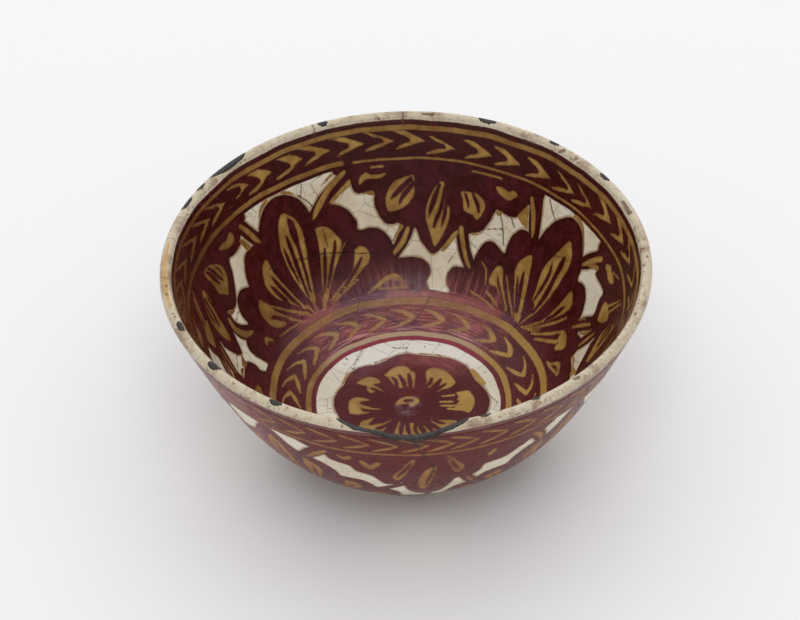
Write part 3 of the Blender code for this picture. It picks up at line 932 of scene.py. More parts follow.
HANGING_NARROW = {
    "at": (172.5, 352.5),
    "red": [
        [(-42, 120), (-41, 108), (-40, 105.3), (-28.3, 105.3), (-27.7, 101.3),
         (-25.3, 96.7), (-24, 92.7), (-11.3, 93.3), (-10.7, 89.5), (-9.3, 86.7),
         (-7.3, 83.3), (-4.7, 79.5), (-2, 77.5), (0, 77), (1, 77.8), (3.3, 80.7),
         (5.3, 84.3), (6.3, 86.7), (11.3, 92.7), (15.3, 91), (19.3, 90),
         (22.7, 91.3), (26, 94.7), (29.3, 99.3), (31, 104), (32.5, 106.8),
         (36.5, 106.4), (41.9, 107.4), (44.1, 109.9), (46, 120)],
        [(9.5, 92, 3.2), (9.3, 86, 3.4), (12.5, 80.5, 3.8), (19, 77, 3)],
        [(-14, 94, 3.3), (-17, 87, 3.3), (-21, 80, 3)],
    ],
    "ochre": [
        [(-1.3, 85.7), (1, 87.3), (2, 92), (2.7, 95.3), (3.7, 100), (4.7, 104),
         (4.5, 108), (3, 111.5), (-2, 109.3), (-3.3, 107.3), (-5.3, 102.7),
         (-6.5, 98.7), (-6.3, 95.3), (-5, 91.3), (-3.3, 88)],
        [(19.7, 96.8), (22.9, 99.3), (25.4, 102.3), (25.8, 105.5), (24.5, 109),
         (21.5, 111.5), (17, 114), (12, 114.5), (11.5, 112), (13, 108),
         (13.4, 104.5), (13.6, 101.3), (16.7, 99)],
        [(29.1, 114.1), (32.7, 114.5), (35.5, 114.1), (39.1, 115.6), (40.9, 114.1),
         (40.2, 111.3), (36.2, 110.6), (31.9, 112)],
        [(-18.7, 96.5), (-20.5, 98.5), (-22, 101.5), (-21.5, 105), (-17, 106),
         (-9.5, 105), (-11, 102), (-14, 99)],
        [(-17.3, 106, .7), (-13.3, 110.7, .6), (-8.7, 116.7, .4)],
        [(-13.3, 105.3, .7), (-9.3, 112, .7), (-5.3, 118, .4)],
        [(-37, 113.7), (-34.7, 115), (-32.7, 115.7), (-30, 114.7), (-24, 114),
         (-26.3, 111.3), (-30, 111), (-33.3, 112), (-36, 112.3)],
        [(-29.3, 115.3, .5), (-21.3, 118, .5)],
        [(9.3, 90, 1.2), (8.7, 86, 1.5), (10, 82.7, 1.7), (12.7, 79.3, 1.7),
         (16, 77.3, 1.2), (20, 76, .5)],
        [(11.3, 93), (15.3, 91), (19.3, 90), (22, 91), (19.5, 89.6), (15, 89.3),
         (12.3, 90.5)],
        [(-14.3, 92, .9), (-17, 86.7, .9), (-19.7, 80.7, .7)],
    ],
    "veins": [
        [(-3.3, 98, .5), (-3.7, 101.3, .9), (-2.7, 105.3, .9), (-1.3, 109.3, .8)],
        [(-1.7, 95.3, .8), (-.7, 98.7, 1), (0, 103.3, 1), (.7, 108.7, .8)],
        [(2.7, 94.7, .6), (3.3, 99.3, .8), (3.7, 103.3, .8), (3.3, 107.3, .6)],
        [(18, 103.7, .6), (16.7, 106.7, 1.2), (15.3, 110, 1.2), (13.3, 113.3, .8)],
        [(21.7, 103, .6), (20, 106, 1.1), (18.3, 110, 1), (16, 113.3, .7)],
        [(23.3, 104.7, .5), (22.7, 108, .7), (21.3, 110, .5)],
    ],
    "cracks": [
        [(13, 86), (20, 87.3)],
        [(-18, 78.3), (-10, 79.5), (-4, 80.2)],
    ],
}

# Two rows of chevrons, all pointing to the right. Each tip has its azimuth in
# degrees. The border's chevrons are painted in four ways, given in millimetres
# from the tip, and the well's are two leaves that meet in it.

BORDER_TIPS = (
    183.8, 177.5, 169.3, 160, 152, 144.6, 135.5, 127.6, 117.8, 109.9, 100.5, 92.4,
    84.2, 75.8, 65.5, 57, 47.2, 38.1, 30.7, 21.6, 12.3, 4.3, -5, -13.8, -22.5, -31.4,
    -40, -49, -57.6, -66.5, -75.2, -84, -92.8, -101.5, -110.4, -119, -128, -136.6,
    -145.4, -154, -162.8, -169.6,
)
BORDER_KINDS = (
    "split", "split", "split", "split", "split", "split", "low", "blunt", "blunt", "full",
    "full", "split", "full", "split", "full", "full", "full", "split", "split", "full",
    "full", "split",
)
BORDER_SHAPES = {
    "full": [
        [(-15, 4.9), (-12, 4.8), (-9, 4.6), (-7.5, 4), (-5, 2.7), (-2.5, 1.5), (-1, .7),
         (0, 0), (-2, -.5), (-4, -1.2), (-6, -1.9), (-8, -2.5), (-10, -3), (-12.5, -3.7),
         (-12, -2.8), (-10, -1.6), (-8, -.9), (-6.9, -.5), (-6.4, .2), (-6.6, 1),
         (-8, 1.9), (-10, 2.7), (-12, 3.7), (-13.8, 4.5)],
    ],
    "split": [
        [(-13.7, 5.1), (-11, 4.8), (-8, 3.5), (-5, 2.3), (-2, .9), (0, 0), (-2, -.4),
         (-3.5, -.8), (-4.7, -1.2), (-4.6, 0), (-4.7, 1), (-6.7, 2), (-9, 2.6),
         (-11, 4), (-13, 4.9)],
        [(-12.5, -3.1, .4), (-9, -2.1, .85), (-6, -1.3, .75), (-3.5, -.6, .6)],
    ],
    "blunt": [
        [(-12, 3.9), (-9, 4), (-6, 3.8), (-4.5, 3.2), (-2, 1.6), (0, 0), (-2, -.6),
         (-4, -1.4), (-6, -2.2), (-6.6, -2.6), (-6.3, -1.1), (-6.6, 0), (-7.6, 1),
         (-9, 2.1), (-10.5, 3.1)],
        [(-14, -4, .4), (-10, -3.5, .8), (-7, -2.7, .75), (-5, -1.7, .6)],
    ],
    "low": [
        [(-3.3, 2.3), (-2.3, 2.1), (-1.3, 1.3), (0, 0), (-2.3, -.3), (-4.3, -1.1),
         (-6.3, -1.7), (-9.3, -2.5), (-12.3, -3.3), (-15, -3.9), (-13.3, -3.4),
         (-10.3, -2.7), (-8.3, -1.5), (-6.1, -.9), (-4.7, -.1), (-4.5, 1), (-4, 2)],
        [(-11, 3.9, .5), (-7, 3.3, .65), (-4, 2.4, .6)],
    ],
}
WELL_TIPS = (
    175, 163.3, 151.7, 140, 126, 113.5, 100, 86, 71, 57, 41.5, 28, 12, -1, -13.5, -26,
    -38.4, -51, -63, -75.5, -88, -100, -112.6, -125, -137.5, -150, -161.5, -173,
)


def border_chevron(tip, kind):
    """The chevrons sink a little where the border was painted lower."""
    height = 125.2 if 28 < tip < 78 else 127.8 if tip < 13 else 127.5
    return [
        [(x, height + rise, *rest) for x, rise, *rest in shape]
        for shape in BORDER_SHAPES[kind]
    ]


def well_chevron(tip):
    """Two tapered leaves that meet, the upper one fuller on the far side."""
    drift = 0.5 * math.sin(tip * 1.7)
    full = 1.4 if 20 < tip < 130 else 0.9
    upper = [(-18, 54, .3), (-10, 52.8, .6 * full), (-4, 51, full), (0, 50 + drift, .5)]
    lower = [(-19, 45.4, .3), (-10, 47.3, .9), (-4, 48.8, .9), (-.5, 49.5 + drift, .4)]
    return [lower, upper]


# The rosette on the floor: eight petals, each with an ochre cap and rays, round
# a ring of small commas. Places are millimetres from the middle of the floor.

ROSETTE_EDGE = [
    (0, 31.3), (4.6, 30.1), (8.3, 29.5), (11.5, 29), (16, 28), (20.5, 25.8),
    (24.6, 22.2), (26.5, 18.5), (28.3, 13.5), (31, 9.5), (32.8, 5.8), (33.7, 2.6),
    (34, 0), (33, -6), (30.6, -11), (29.8, -15), (27, -20.5), (22, -24.6), (17, -26.6),
    (12.5, -29.6), (7, -31.6), (1, -32), (-4, -30.6), (-9.5, -30), (-15, -28),
    (-19.6, -24.4), (-22.4, -20), (-26.4, -16.6), (-28.7, -12.4), (-29, -8.3),
    (-30.4, -4.6), (-31.2, -1.5), (-31.3, 2.2), (-30.6, 5.8), (-29.5, 8.5),
    (-27.2, 12.2), (-26.3, 15.4), (-25, 18.5), (-22.6, 21.3), (-20, 23),
    (-16.7, 24.2), (-14, 24.7), (-10, 26.7), (-7.6, 28.5), (-5, 30), (-2.2, 30.8),
]
PETALS = [
    {
        "ochre": [
            [(19.9, 6.7), (22.4, 7.4), (25.3, 7.4), (26.7, 4.9), (27.5, 2.2),
             (27.5, -.5), (26.7, -3.3), (25.1, -6), (23, -4.9), (20.5, -4),
             (18.3, -3.6), (20.5, -1.9), (22.6, -.8), (20.5, -.1), (21.2, 1.3),
             (20.3, 2.6), (21.2, 4)],
            [(14.2, 4.9, .5), (19.2, 5.4, .5)], [(13.3, 1.5, .5), (18.3, 1.3, .5)],
            [(13.3, -.8, .5), (20.5, -1.2, .6)], [(16.5, -2.8, .5), (20.5, -3.7, .6)],
        ],
    },
    {
        "ochre": [
            [(7.6, 20.4), (9.2, 22.1), (11.9, 22.1), (15.1, 20.6), (17.4, 18.1),
             (19.2, 14.9), (19.7, 12.6), (17.4, 10.1), (14.2, 9.1), (11.7, 7.7),
             (8.7, 10.4), (6.9, 10.4), (7.8, 13.5), (7.5, 16.7)],
        ],
        "veins": [
            [(9.9, 16, .6), (9.2, 13.5, 1), (7.6, 11.2, .8)],
            [(13.7, 15.3, .6), (11.9, 12.2, 1.3), (9.2, 9, 1)],
            [(15.8, 12.4, .6), (13.3, 10.4, 1), (10.8, 8.1, .9)],
        ],
    },
    {
        "ochre": [
            [(-10.1, 18.5), (-8.5, 20.8), (-6.7, 22.6), (-4.5, 23.8), (-2.2, 23.9),
             (-.1, 23.1), (1.5, 20.8), (3, 19.5), (2.8, 14.5), (2, 10.2), (-.5, 10.5),
             (-2.4, 11), (-4.5, 10.2), (-5.5, 12), (-7.2, 14.9), (-8.5, 17.2)],
        ],
        "veins": [
            [(-6.7, 17.2, .6), (-5.2, 14.9, .9), (-4.8, 11, .8)],
            [(-3.7, 18.3, .6), (-2.2, 15, 1), (-1.2, 10.5, .9)],
            [(.2, 19.2, .6), (.7, 15, 1), (.9, 10.3, .9)],
        ],
    },
    {
        "ochre": [
            [(-21.5, 13.8), (-19.9, 15.8), (-17.6, 17.2), (-15.4, 17.5), (-13.5, 16.7),
             (-11.7, 14.2), (-14.9, 12.9), (-12.6, 11.3), (-9.7, 7.6), (-13.1, 9),
             (-15.8, 7.6), (-17.2, 9.5), (-17.6, 11.7), (-19.5, 12.6)],
        ],
        "veins": [[(-15.8, 10.8, .5), (-13.5, 9.4, .8), (-11, 7.8, .8)]],
    },
    {
        "ochre": [
            [(-25.1, .4), (-25, 2.2), (-23.8, 4), (-21.5, 5.1), (-19.2, 4.7), (-16, 3.5),
             (-19, 2.6), (-20.4, 1.5), (-15.8, -1.2), (-11.5, -2.2), (-15.8, -2.4),
             (-19.9, -1.5), (-19, -3.7), (-15.8, -4.2), (-20.4, -5.5), (-22.6, -5.5),
             (-24.5, -5.1), (-25, -3.3), (-25.1, -1.5)],
        ],
    },
]
HIDDEN_PETALS = ((4, 40), (2, 170), (1, -98))
FRINGES = [
    [(26.3, 18.6), (27, 20.5), (29.2, 17.6), (31, 14.4), (32.6, 11), (31.6, 9.6),
     (29.4, 12), (28, 15)],
    [(5, 31, .4), (11, 30, .5), (16, 28.8, .4)],
    [(-9, 28.4, .4), (-14, 25.8, .5)], [(-25.4, 19.4, .5), (-27.6, 13.2, .5)],
]
MIDDLE = [
    (-5.5, .8), (-4.5, 3.1), (-2.2, 4.9), (.1, 5.5), (2.4, 4.9), (4.1, 3.5), (4.4, 2.2),
    (3.3, .4), (1.9, -.8), (.5, -1.4), (0, .8), (-1.5, .8), (-3.6, .6), (-5, -.2),
]
MIDDLE_EYE = [(-1.2, 2.7, 1), (1.2, 2.9, 1)]


def swung(shape, degrees):
    turn = math.radians(degrees)
    cos, sin = math.cos(turn), math.sin(turn)
    return [(x * cos - y * sin, x * sin + y * cos, *rest) for x, y, *rest in shape]


# Old cracks in the well, as azimuth in degrees and place along the wall

WELL_CRACKS = [
    [(182, 45), (182, 34)], [(155, 45), (155, 34)], [(50.6, 45), (50.6, 34)],
    [(34, 42), (34, 33)], [(12.8, 41.8), (16.7, 32.7)], [(-2.8, 37.3), (7.2, 33.6)],
    [(138.3, 38.5), (136.7, 32)],
    [(136.7, 31.5), (120, 38.3), (110.6, 42), (100, 46.6)],
    [(107.8, 42), (100.6, 35.3), (90, 34.4)], [(86.7, 42), (89.4, 35.7), (91, 32)],
    [(68.3, 42), (70, 35.7), (71.7, 32)], [(87, 44.8), (72.8, 43.5), (55, 41.6)],
    [(110, 61.2), (113.3, 53.9)], [(80, 59.4), (86, 47.5)],
    [(106.7, 53.9), (93.9, 47.5)], [(38.5, 62), (39, 56)], [(27.2, 60), (28.9, 56)],
]

# Stains in the lip and specks fired into the well, with their half widths

STAINS = [
    [(82.5, 139.3, .7), (85, 139.6, .5)], [(17, 139.2, .9), (21.5, 139.4, .7)],
    [(46.2, 139.5, .8), (46.9, 138, .5)], [(312, 140.2, .9), (313, 140.4, .6)],
    [(339, 140, .7), (339.4, 140, .5)], [(41.7, 139.5, .6), (42, 139.5, .5)],
    [(184, 140.4, .4), (184.4, 140.4, .4)], [(187, 140, .5), (187.3, 140, .4)],
    [(190, 140.6, .5), (190.3, 140.5, .4)], [(-3, 139, .4), (-2.7, 139, .4)],
    [(0, 140.6, .4), (.4, 140.6, .4)], [(3, 139.6, .4), (3.2, 139.6, .4)],
    [(90, 142, .3), (90, 134, .2)], [(113, 142, .3), (113.3, 133, .2)],
    [(169.5, 142, .3), (169.3, 136, .2)],
]
SPECKS = (
    (133.6, 44.2), (133.3, 37.8), (127.5, 34.5), (184.4, 33), (114.2, 50.9),
    (114.6, 39.2), (78, 35.5), (91, 32), (84, 51), (81, 47.8), (63.6, 47.8),
    (28, 37), (48.6, 46.4),
)
STAINS += [[(far, run, .6), (far + .4, run, .5)] for far, run in SPECKS]
TAN_STREAK = [(171, 140.4, .5), (180, 140.6, .9), (188, 140.4, .8), (195, 140.5, .4)]

FLOOR_REACH = 42

points, azimuths, runs = places_on(glaze, face_line)
red, ochre, crack, stain, tan = (np.full(len(points), FARTHEST) for _ in range(5))
for motif in (STANDING_BROAD, STANDING_TALL, HANGING_BROAD, HANGING_NARROW):
    for middle in motif["at"]:
        motif_painted(red, ochre, around(azimuths, runs, middle), motif)
    places = around(azimuths, runs, motif["at"][0])
    for line in motif["cracks"]:
        painted(crack, places, [(x, run, 0) for x, run in line])
for tip, kind in zip(BORDER_TIPS, BORDER_KINDS * 2):
    for shape in border_chevron(tip, kind):
        painted(ochre, around(azimuths, runs, tip), shape)
for tip in WELL_TIPS:
    for shape in well_chevron(tip):
        painted(ochre, around(azimuths, runs, tip), shape)
for line in WELL_CRACKS:
    line_painted(crack, azimuths, runs, [(far, run, 0) for far, run in line])
floor_places = np.where(runs[:, None] < FLOOR_REACH, points[:, :2], OUT_OF_REACH)
painted(red, floor_places, ROSETTE_EDGE)
petals = [(petal, 0) for petal in PETALS]
petals += [(PETALS[copied], degrees) for copied, degrees in HIDDEN_PETALS]
for petal, degrees in petals:
    swung_petal = {
        part: [swung(shape, degrees) for shape in shapes]
        for part, shapes in petal.items()
    }
    motif_painted(red, ochre, floor_places, swung_petal)
for shape in FRINGES + [MIDDLE]:
    painted(ochre, floor_places, shape)
painted(ochre, floor_places, MIDDLE_EYE, taken_out=True)
for line in STAINS:
    line_painted(stain, azimuths, runs, line)
line_painted(tan, azimuths, runs, TAN_STREAK)
stored(glaze, run=runs, red=red, ochre=ochre, crack=crack, stain=stain, tan=tan)

WHITE, WALL_WHITE, WARM_WHITE = tone(234, 228, 218), tone(232, 223, 203), tone(216, 203, 176)
DARK_RED, DEEP_RED, WARM_RED = tone(56, 7, 5), tone(86, 22, 16), tone(96, 28, 28)
OCHRE, PALE_OCHRE, BROWN = tone(146, 106, 50), tone(178, 141, 76), tone(108, 62, 30)
LILAC, PINK, PLUM = tone(124, 84, 100), tone(178, 104, 100), tone(88, 26, 38)
THIN_OCHRE = tone(176, 138, 88)
CRAZE_GREY, CRAZE_DARK = tone(84, 72, 62), tone(30, 16, 14)
CRACK_BROWN, PIT_BLACK = tone(38, 27, 24), tone(40, 30, 26)
LIP_CREAM, LIP_BROWN, LIP_GRIME = tone(190, 177, 152), tone(134, 100, 72), tone(136, 102, 84)
NICK_BROWN, SPECK_BROWN = tone(72, 48, 38), tone(138, 100, 76)
BEND = 0.0012


class PaintedGlaze(Finish):
    """White glaze under brushed lustre, with its crazing, stains and wear."""

    def __init__(self, name):
        super().__init__(name)
        self.run = self.measure("run")
        self.red = self.measure("red")
        self.ochre = self.measure("ochre")
        self.crack = self.measure("crack")
        across = self.node("SeparateXYZ", Vector=self.place, output="X")
        along = self.node("SeparateXYZ", Vector=self.place, output="Y")
        self.azimuth = worked("ARCTAN2", along, across) * math.degrees(1)
        self.shake = (self.noise(420, 3, 0.6) - 0.5) * 1.3
        self.sway = (self.noise(45, 1, 0.5, 5.0) - 0.5) * 2.2
        self.lined = self.run + self.sway + 0.4 * self.shake

    def measure(self, name):
        return self.node("Attribute", {"attribute_name": name}, output="Fac")

    def band(self, low, high, soft=0.3):
        """Painted ring between two places along the wall."""
        return least(
            self.rise(self.lined, low - soft, low + soft),
            self.fall(self.lined, high - soft, high + soft),
        )

    def streaks(self, degrees, millimetres, shift=0.0):
        """Brush streaks, so long round the bowl and so wide along the wall."""
        across, along = self.azimuth * (1 / degrees), self.run * (1 / millimetres)
        place = self.node("CombineXYZ", X=across, Y=along, Z=shift)
        return self.node("TexNoise", Vector=place, Scale=1.0, Detail=3.0, Roughness=0.6)

    def patch(self, distance, soft=0.28):
        return self.fall(distance + self.shake * 0.6, -soft, soft)

    def laid_on(self, red, ochre, lip, sheen, low, white, reds, ochres, shine):
        """Colour, gloss and relief from the shares of each paint, and a painted sheen over
        them.
        """
        cloud = self.noise(28, 4, 0.6, 2.0)
        drift = self.noise(140, 3, 0.6, 9.0)
        pools = self.noise(330, 3, 0.6, 4.0)
        cloudy = self.rise(cloud + 0.5 * (drift - 0.5), 0.36, 0.64)
        waves = self.node("TexNoise", Vector=self.place, Scale=160.0, Detail=2.0, output=1)
        bent = self.colours(BEND, self.place, waves, "ADD")
        fine_share = self.rise(self.noise(60, 2, 0.5, 12.0), 0.5, 0.66) * 0.35
        wide_share = self.rise(self.noise(40, 2, 0.5, 22.0), 0.36, 0.5)
        crazing = most(
            self.fall(self.net(210, 1.0, bent), 0.010, 0.035) * fine_share,
            self.fall(self.net(64, 4.0, bent), 0.006, 0.018) * wide_share
            * (0.34 + 0.06 * white),
        )
        ground = self.layers(
            WALL_WHITE, (cloudy, WARM_WHITE), (white, WHITE), (crazing, CRAZE_GREY)
        )
        # Painted sheen: a pink and lilac reflection of the lustre, laid over the red and more
        # faintly over the ochre.
        lustre = self.rise(self.noise(65, 2, 0.5, 17.0), 0.44, 0.56)
        lustre = self.colours(lustre, LILAC, PINK)
        thin = self.rise(pools, 0.5, 0.75) * 0.35 + self.rise(cloud, 0.45, 0.7) * 0.55
        brushed = self.rise(self.streaks(2.2, 9.0, 4.0), 0.5, 0.72) * 0.6
        thick = self.rise(0 - self.red, 1.0, 3.2) * self.rise(drift, 0.4, 0.6)
        red_paint = self.layers(
            reds[0], (most(thin, brushed), reds[1]), (most(low, 0.3 * thin), reds[2]),
            (thick * 0.45, PLUM), (sheen, lustre),
        )
        ochre_paint = self.layers(
            ochres[0], (self.rise(drift, 0.36, 0.64), ochres[1]), (low * 0.5, THIN_OCHRE),
            (self.rise(self.ochre, -1.0, 0.1) * 0.45 * ochre, BROWN),
            (sheen * 0.45, lustre),
        )
        seeped = self.fall(abs(self.red + self.shake - 0.35), 0.25, 0.75)
        cracks = self.fall(self.crack, 0.18, 0.62)
        cracks = cracks * self.rise(self.noise(180, 2, 0.5, 3.0), 0.24, 0.44)
        pits = self.fall(self.spots(260, 2.0), 0.05, 0.09) * self.rise(drift, 0.5, 0.62)
        rubbed = self.rise(self.noise(520, 4, 0.7, 6.0), 0.53, 0.66)
        worn = self.rise(self.noise(75, 3, 0.6, 8.0), 0.40, 0.62)
        grime = self.rise(self.noise(48, 3, 0.6, 18.0), 0.48, 0.62)
        grime = grime * self.rise(drift, 0.4, 0.6)
        nicks = self.fall(self.spots(330, 5.0), 0.10, 0.20) * self.rise(cloud, 0.42, 0.56)
        specks = self.fall(self.spots(620, 7.0), 0.12, 0.24) * self.rise(drift, 0.44, 0.56)
        colour = self.layers(
            ground, (seeped * 0.6, OCHRE), (red, red_paint), (ochre, ochre_paint),
            (crazing * most(red, ochre) * 0.45, CRAZE_DARK),
            (cracks * 0.8, CRACK_BROWN), (pits * 0.8, PIT_BLACK),
            (lip * 0.8 * (1 - red), LIP_CREAM),
            (lip * rubbed * (0.3 + 0.6 * worn), LIP_BROWN),
            (lip * grime * 0.65, LIP_GRIME), (lip * nicks * 0.8, NICK_BROWN),
            (lip * specks * 0.6, SPECK_BROWN),
        )
        self.set(Specular_IOR_Level=shine)
        gloss = 0.13 + 0.10 * red + 0.12 * ochre + 0.16 * self.rise(pools, 0.45, 0.7)
        self.set(Base_Color=colour, Roughness=gloss + 0.25 * lip * rubbed)
        relief = 1.6 * self.noise(34, 2, 0.5, 6.0) + 0.10 * pools + 0.04 * red
        relief = relief - 0.10 * crazing - 0.12 * cracks - 0.2 * pits - 0.1 * lip * rubbed
        self.bumps(relief, 0.45)
        return colour


# Colours of the painted sheen on the lit far side: a paler lower ring, pink streaks, pink
# highlights and a brighter crimson line.
PALE_RING, ROSE_SHEEN = tone(198, 176, 146), tone(206, 140, 142)
HIGHLIGHT_PINK, CRIMSON = tone(214, 162, 158), tone(150, 34, 56)
SMEAR_HIGHLIGHT_LILAC, TAN, STAIN_BROWN = tone(142, 116, 128), tone(192, 148, 80), tone(92, 60, 44)
BORDER, BORDER_EDGE = (117.8, 136.9), (143.9, 144.6)
WELL_RED, UPPER_RING, LOWER_RING = (38.7, 63), (56.5, 59.6), (41.0, 43.3)
CRIMSON_RING, PINK_RING, UPPER_SHEEN = (38.8, 40.7), (43.3, 46.5), (59.8, 62.4)
INNER_EDGE, OUTER_EDGE = 137.9, 143.4
INSIDE_SHINE, OUTSIDE_SHINE = 0.26, 0.09

inside = PaintedGlaze("inside_painted_glaze")
azimuth = inside.azimuth
far_left = inside.rise(azimuth, 132, 146)
far_right = inside.fall(azimuth, 4, 22)
line_top = 120.5 + 0.9 * inside.rise(azimuth, 103, 107) + 1.3 * far_right
unbroken = inside.rise(abs(azimuth - 105.5), 0.8, 2.0)
lower_line = least(
    inside.rise(inside.lined - 0.5 * far_right, 119.2, 119.8),
    inside.fall(inside.lined - line_top, -0.3, 0.3),
) * unbroken
border = most(inside.band(*BORDER), inside.rise(inside.lined, *BORDER_EDGE))
red_share = most(inside.patch(inside.red), border, inside.band(*WELL_RED))
upper_line = least(
    inside.rise(inside.lined - 0.7 * far_left, 132.1, 132.7),
    inside.fall(inside.lined, 134.2, 134.8),
)
ochre_share = most(
    inside.patch(inside.ochre), upper_line, lower_line, inside.band(*UPPER_RING),
    inside.band(*LOWER_RING),
)
lip_share = least(inside.rise(inside.run, 135.5, 138.5), inside.fall(inside.run, 144.4, 145.8))
# Painted sheen and highlights: pink reflections of the lustre in streaks along the well's ring,
# on the palmettes' bases and round the rosette, strongest on the lit far side of the bowl.
ring_streaks = inside.rise(inside.streaks(16, 0.8), 0.42, 0.66)
leaf_streaks = inside.rise(inside.streaks(1.5, 18, 9.0), 0.42, 0.66)
along_ring = inside.fall(inside.run, 62, 64) * inside.rise(inside.run, 37, 41)
up_leaves = inside.rise(inside.run, 62, 64) * inside.fall(inside.run, 63, 78)
on_petals = inside.rise(inside.run, 22, 28) * inside.fall(inside.run, 33, 36)
lit_far_side = inside.fall(abs(azimuth - 92), 35, 65)
highlight_scratches = inside.rise(inside.streaks(5, 0.4, 21.0), 0.56, 0.7)
sheen = along_ring * (0.2 + 0.8 * ring_streaks) + up_leaves * (0.15 + 0.6 * leaf_streaks)
sheen = most(sheen, inside.band(*UPPER_SHEEN, 0.5) * 0.7)
sheen = most(sheen * 0.8, on_petals * (0.15 + 0.35 * ring_streaks)) * (0.15 + 0.85 * lit_far_side)
# Warmer red and paler ochre low in the bowl, given less away from the far side as a painted
# shade; the lip's outer lap takes the warm red too.
low = inside.fall(inside.run, 46, 74) * (0.5 + 0.5 * lit_far_side)
low = most(low, inside.rise(inside.run, 142.5, 144))
# Whiter ground in the well: cleaner glaze, and painted light that makes it whiter on the far
# side.
clean_and_lit = inside.fall(inside.run, 36, 60) * (0.3 + 0.7 * lit_far_side)
painted_colour = inside.laid_on(
    red_share, ochre_share, lip_share, sheen, low, clean_and_lit,
    (DARK_RED, DEEP_RED, WARM_RED), (OCHRE, PALE_OCHRE), INSIDE_SHINE,
)
stained = inside.fall(inside.measure("stain") + inside.shake, -0.3, 0.5)
tanned = inside.fall(inside.measure("tan") + inside.shake, -0.3, 0.5)
# Painted shade: the ochre darkened on the left wall's palmettes and on the left of the border.
shaded_left_wall = inside.rise(abs(azimuth), 134, 150) * inside.rise(inside.run, 62, 68)
shaded_left_border = inside.rise(abs(azimuth), 148, 164) * inside.rise(inside.run, 117, 119)
right_side = inside.fall(abs(azimuth - 12), 22, 44) * inside.fall(inside.run, 62, 66)
# A lilac smear at the middle of the floor, partly a painted highlight.
smear_and_highlight = inside.rise(inside.noise(120, 3, 0.6, 31.0), 0.42, 0.6)
smear_and_highlight = smear_and_highlight * inside.fall(inside.run, 2.5, 8)
lip_edges = least(abs(inside.run - INNER_EDGE), abs(inside.run - OUTER_EDGE))
worn_edge = inside.fall(lip_edges, 0.2, 0.9)
worn_edge = worn_edge * inside.rise(inside.noise(480, 3, 0.7, 41.0), 0.54, 0.64)
worn_edge = worn_edge * inside.rise(inside.noise(60, 2, 0.5, 43.0), 0.4, 0.58)
inside.set(Base_Color=inside.layers(
    painted_colour,
    # Painted sheen and highlights on the lit far side of the well's ring; the crimson line
    # keeps a little of its own paint all round.
    (inside.band(*LOWER_RING) * lit_far_side * 0.6, PALE_RING),
    (inside.band(*PINK_RING, 0.8) * lit_far_side * 0.7 * ring_streaks, ROSE_SHEEN),
    (highlight_scratches * along_ring * lit_far_side * 0.45, HIGHLIGHT_PINK),
    (inside.band(*CRIMSON_RING) * (0.15 + 0.6 * lit_far_side), CRIMSON),
    # Painted shade darkens the ochre on the left.
    (ochre_share * shaded_left_wall * 0.45, tone(84, 44, 22)),
    (ochre_share * shaded_left_border * 0.6, tone(64, 24, 15)),
    (ochre_share * right_side * 0.5, tone(190, 150, 76)),
    (smear_and_highlight * 0.6, SMEAR_HIGHLIGHT_LILAC), (tanned * 0.8, TAN), (worn_edge * 0.8, tone(92, 62, 48)),
    (stained * 0.8, STAIN_BROWN),
))
inside.onto(glaze)

# Glaze outside. A thinner coat of the same white glaze, painted all over from
# the lip to the heel. It stops just short of the foot.

OUTSIDE_ROW = 1.2
OUTSIDE_COLUMNS = 600
OUTSIDE_RIM = 12.0
SEAM_GAP = 0.05

seam = (SEAM_LAP + SEAM_GAP) / OUTER_PACE
outside_line = evenly(cubic(OUTER_CURVE, 1, seam, 2000), OUTSIDE_ROW)
outside_columns = [OUTSIDE_COLUMNS] * len(outside_line)
outer_glaze = chipped_coat(
    "outside_glaze", outside_line, outside_columns, -GLAZE_THICKNESS,
    len(outside_line) - round(OUTSIDE_RIM / OUTSIDE_ROW),
    (OUTSIDE_COLUMNS, OUTSIDE_COLUMNS // 2, OUTSIDE_COLUMNS // 2),
)
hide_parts("glaze_outside")
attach(outer_glaze, "root")

# The outside has the same plan: chevrons under the lip, then hanging and
# standing palmettes in turn, and a band at the heel. Places are millimetres
# across to the right, then down the wall from the lip.

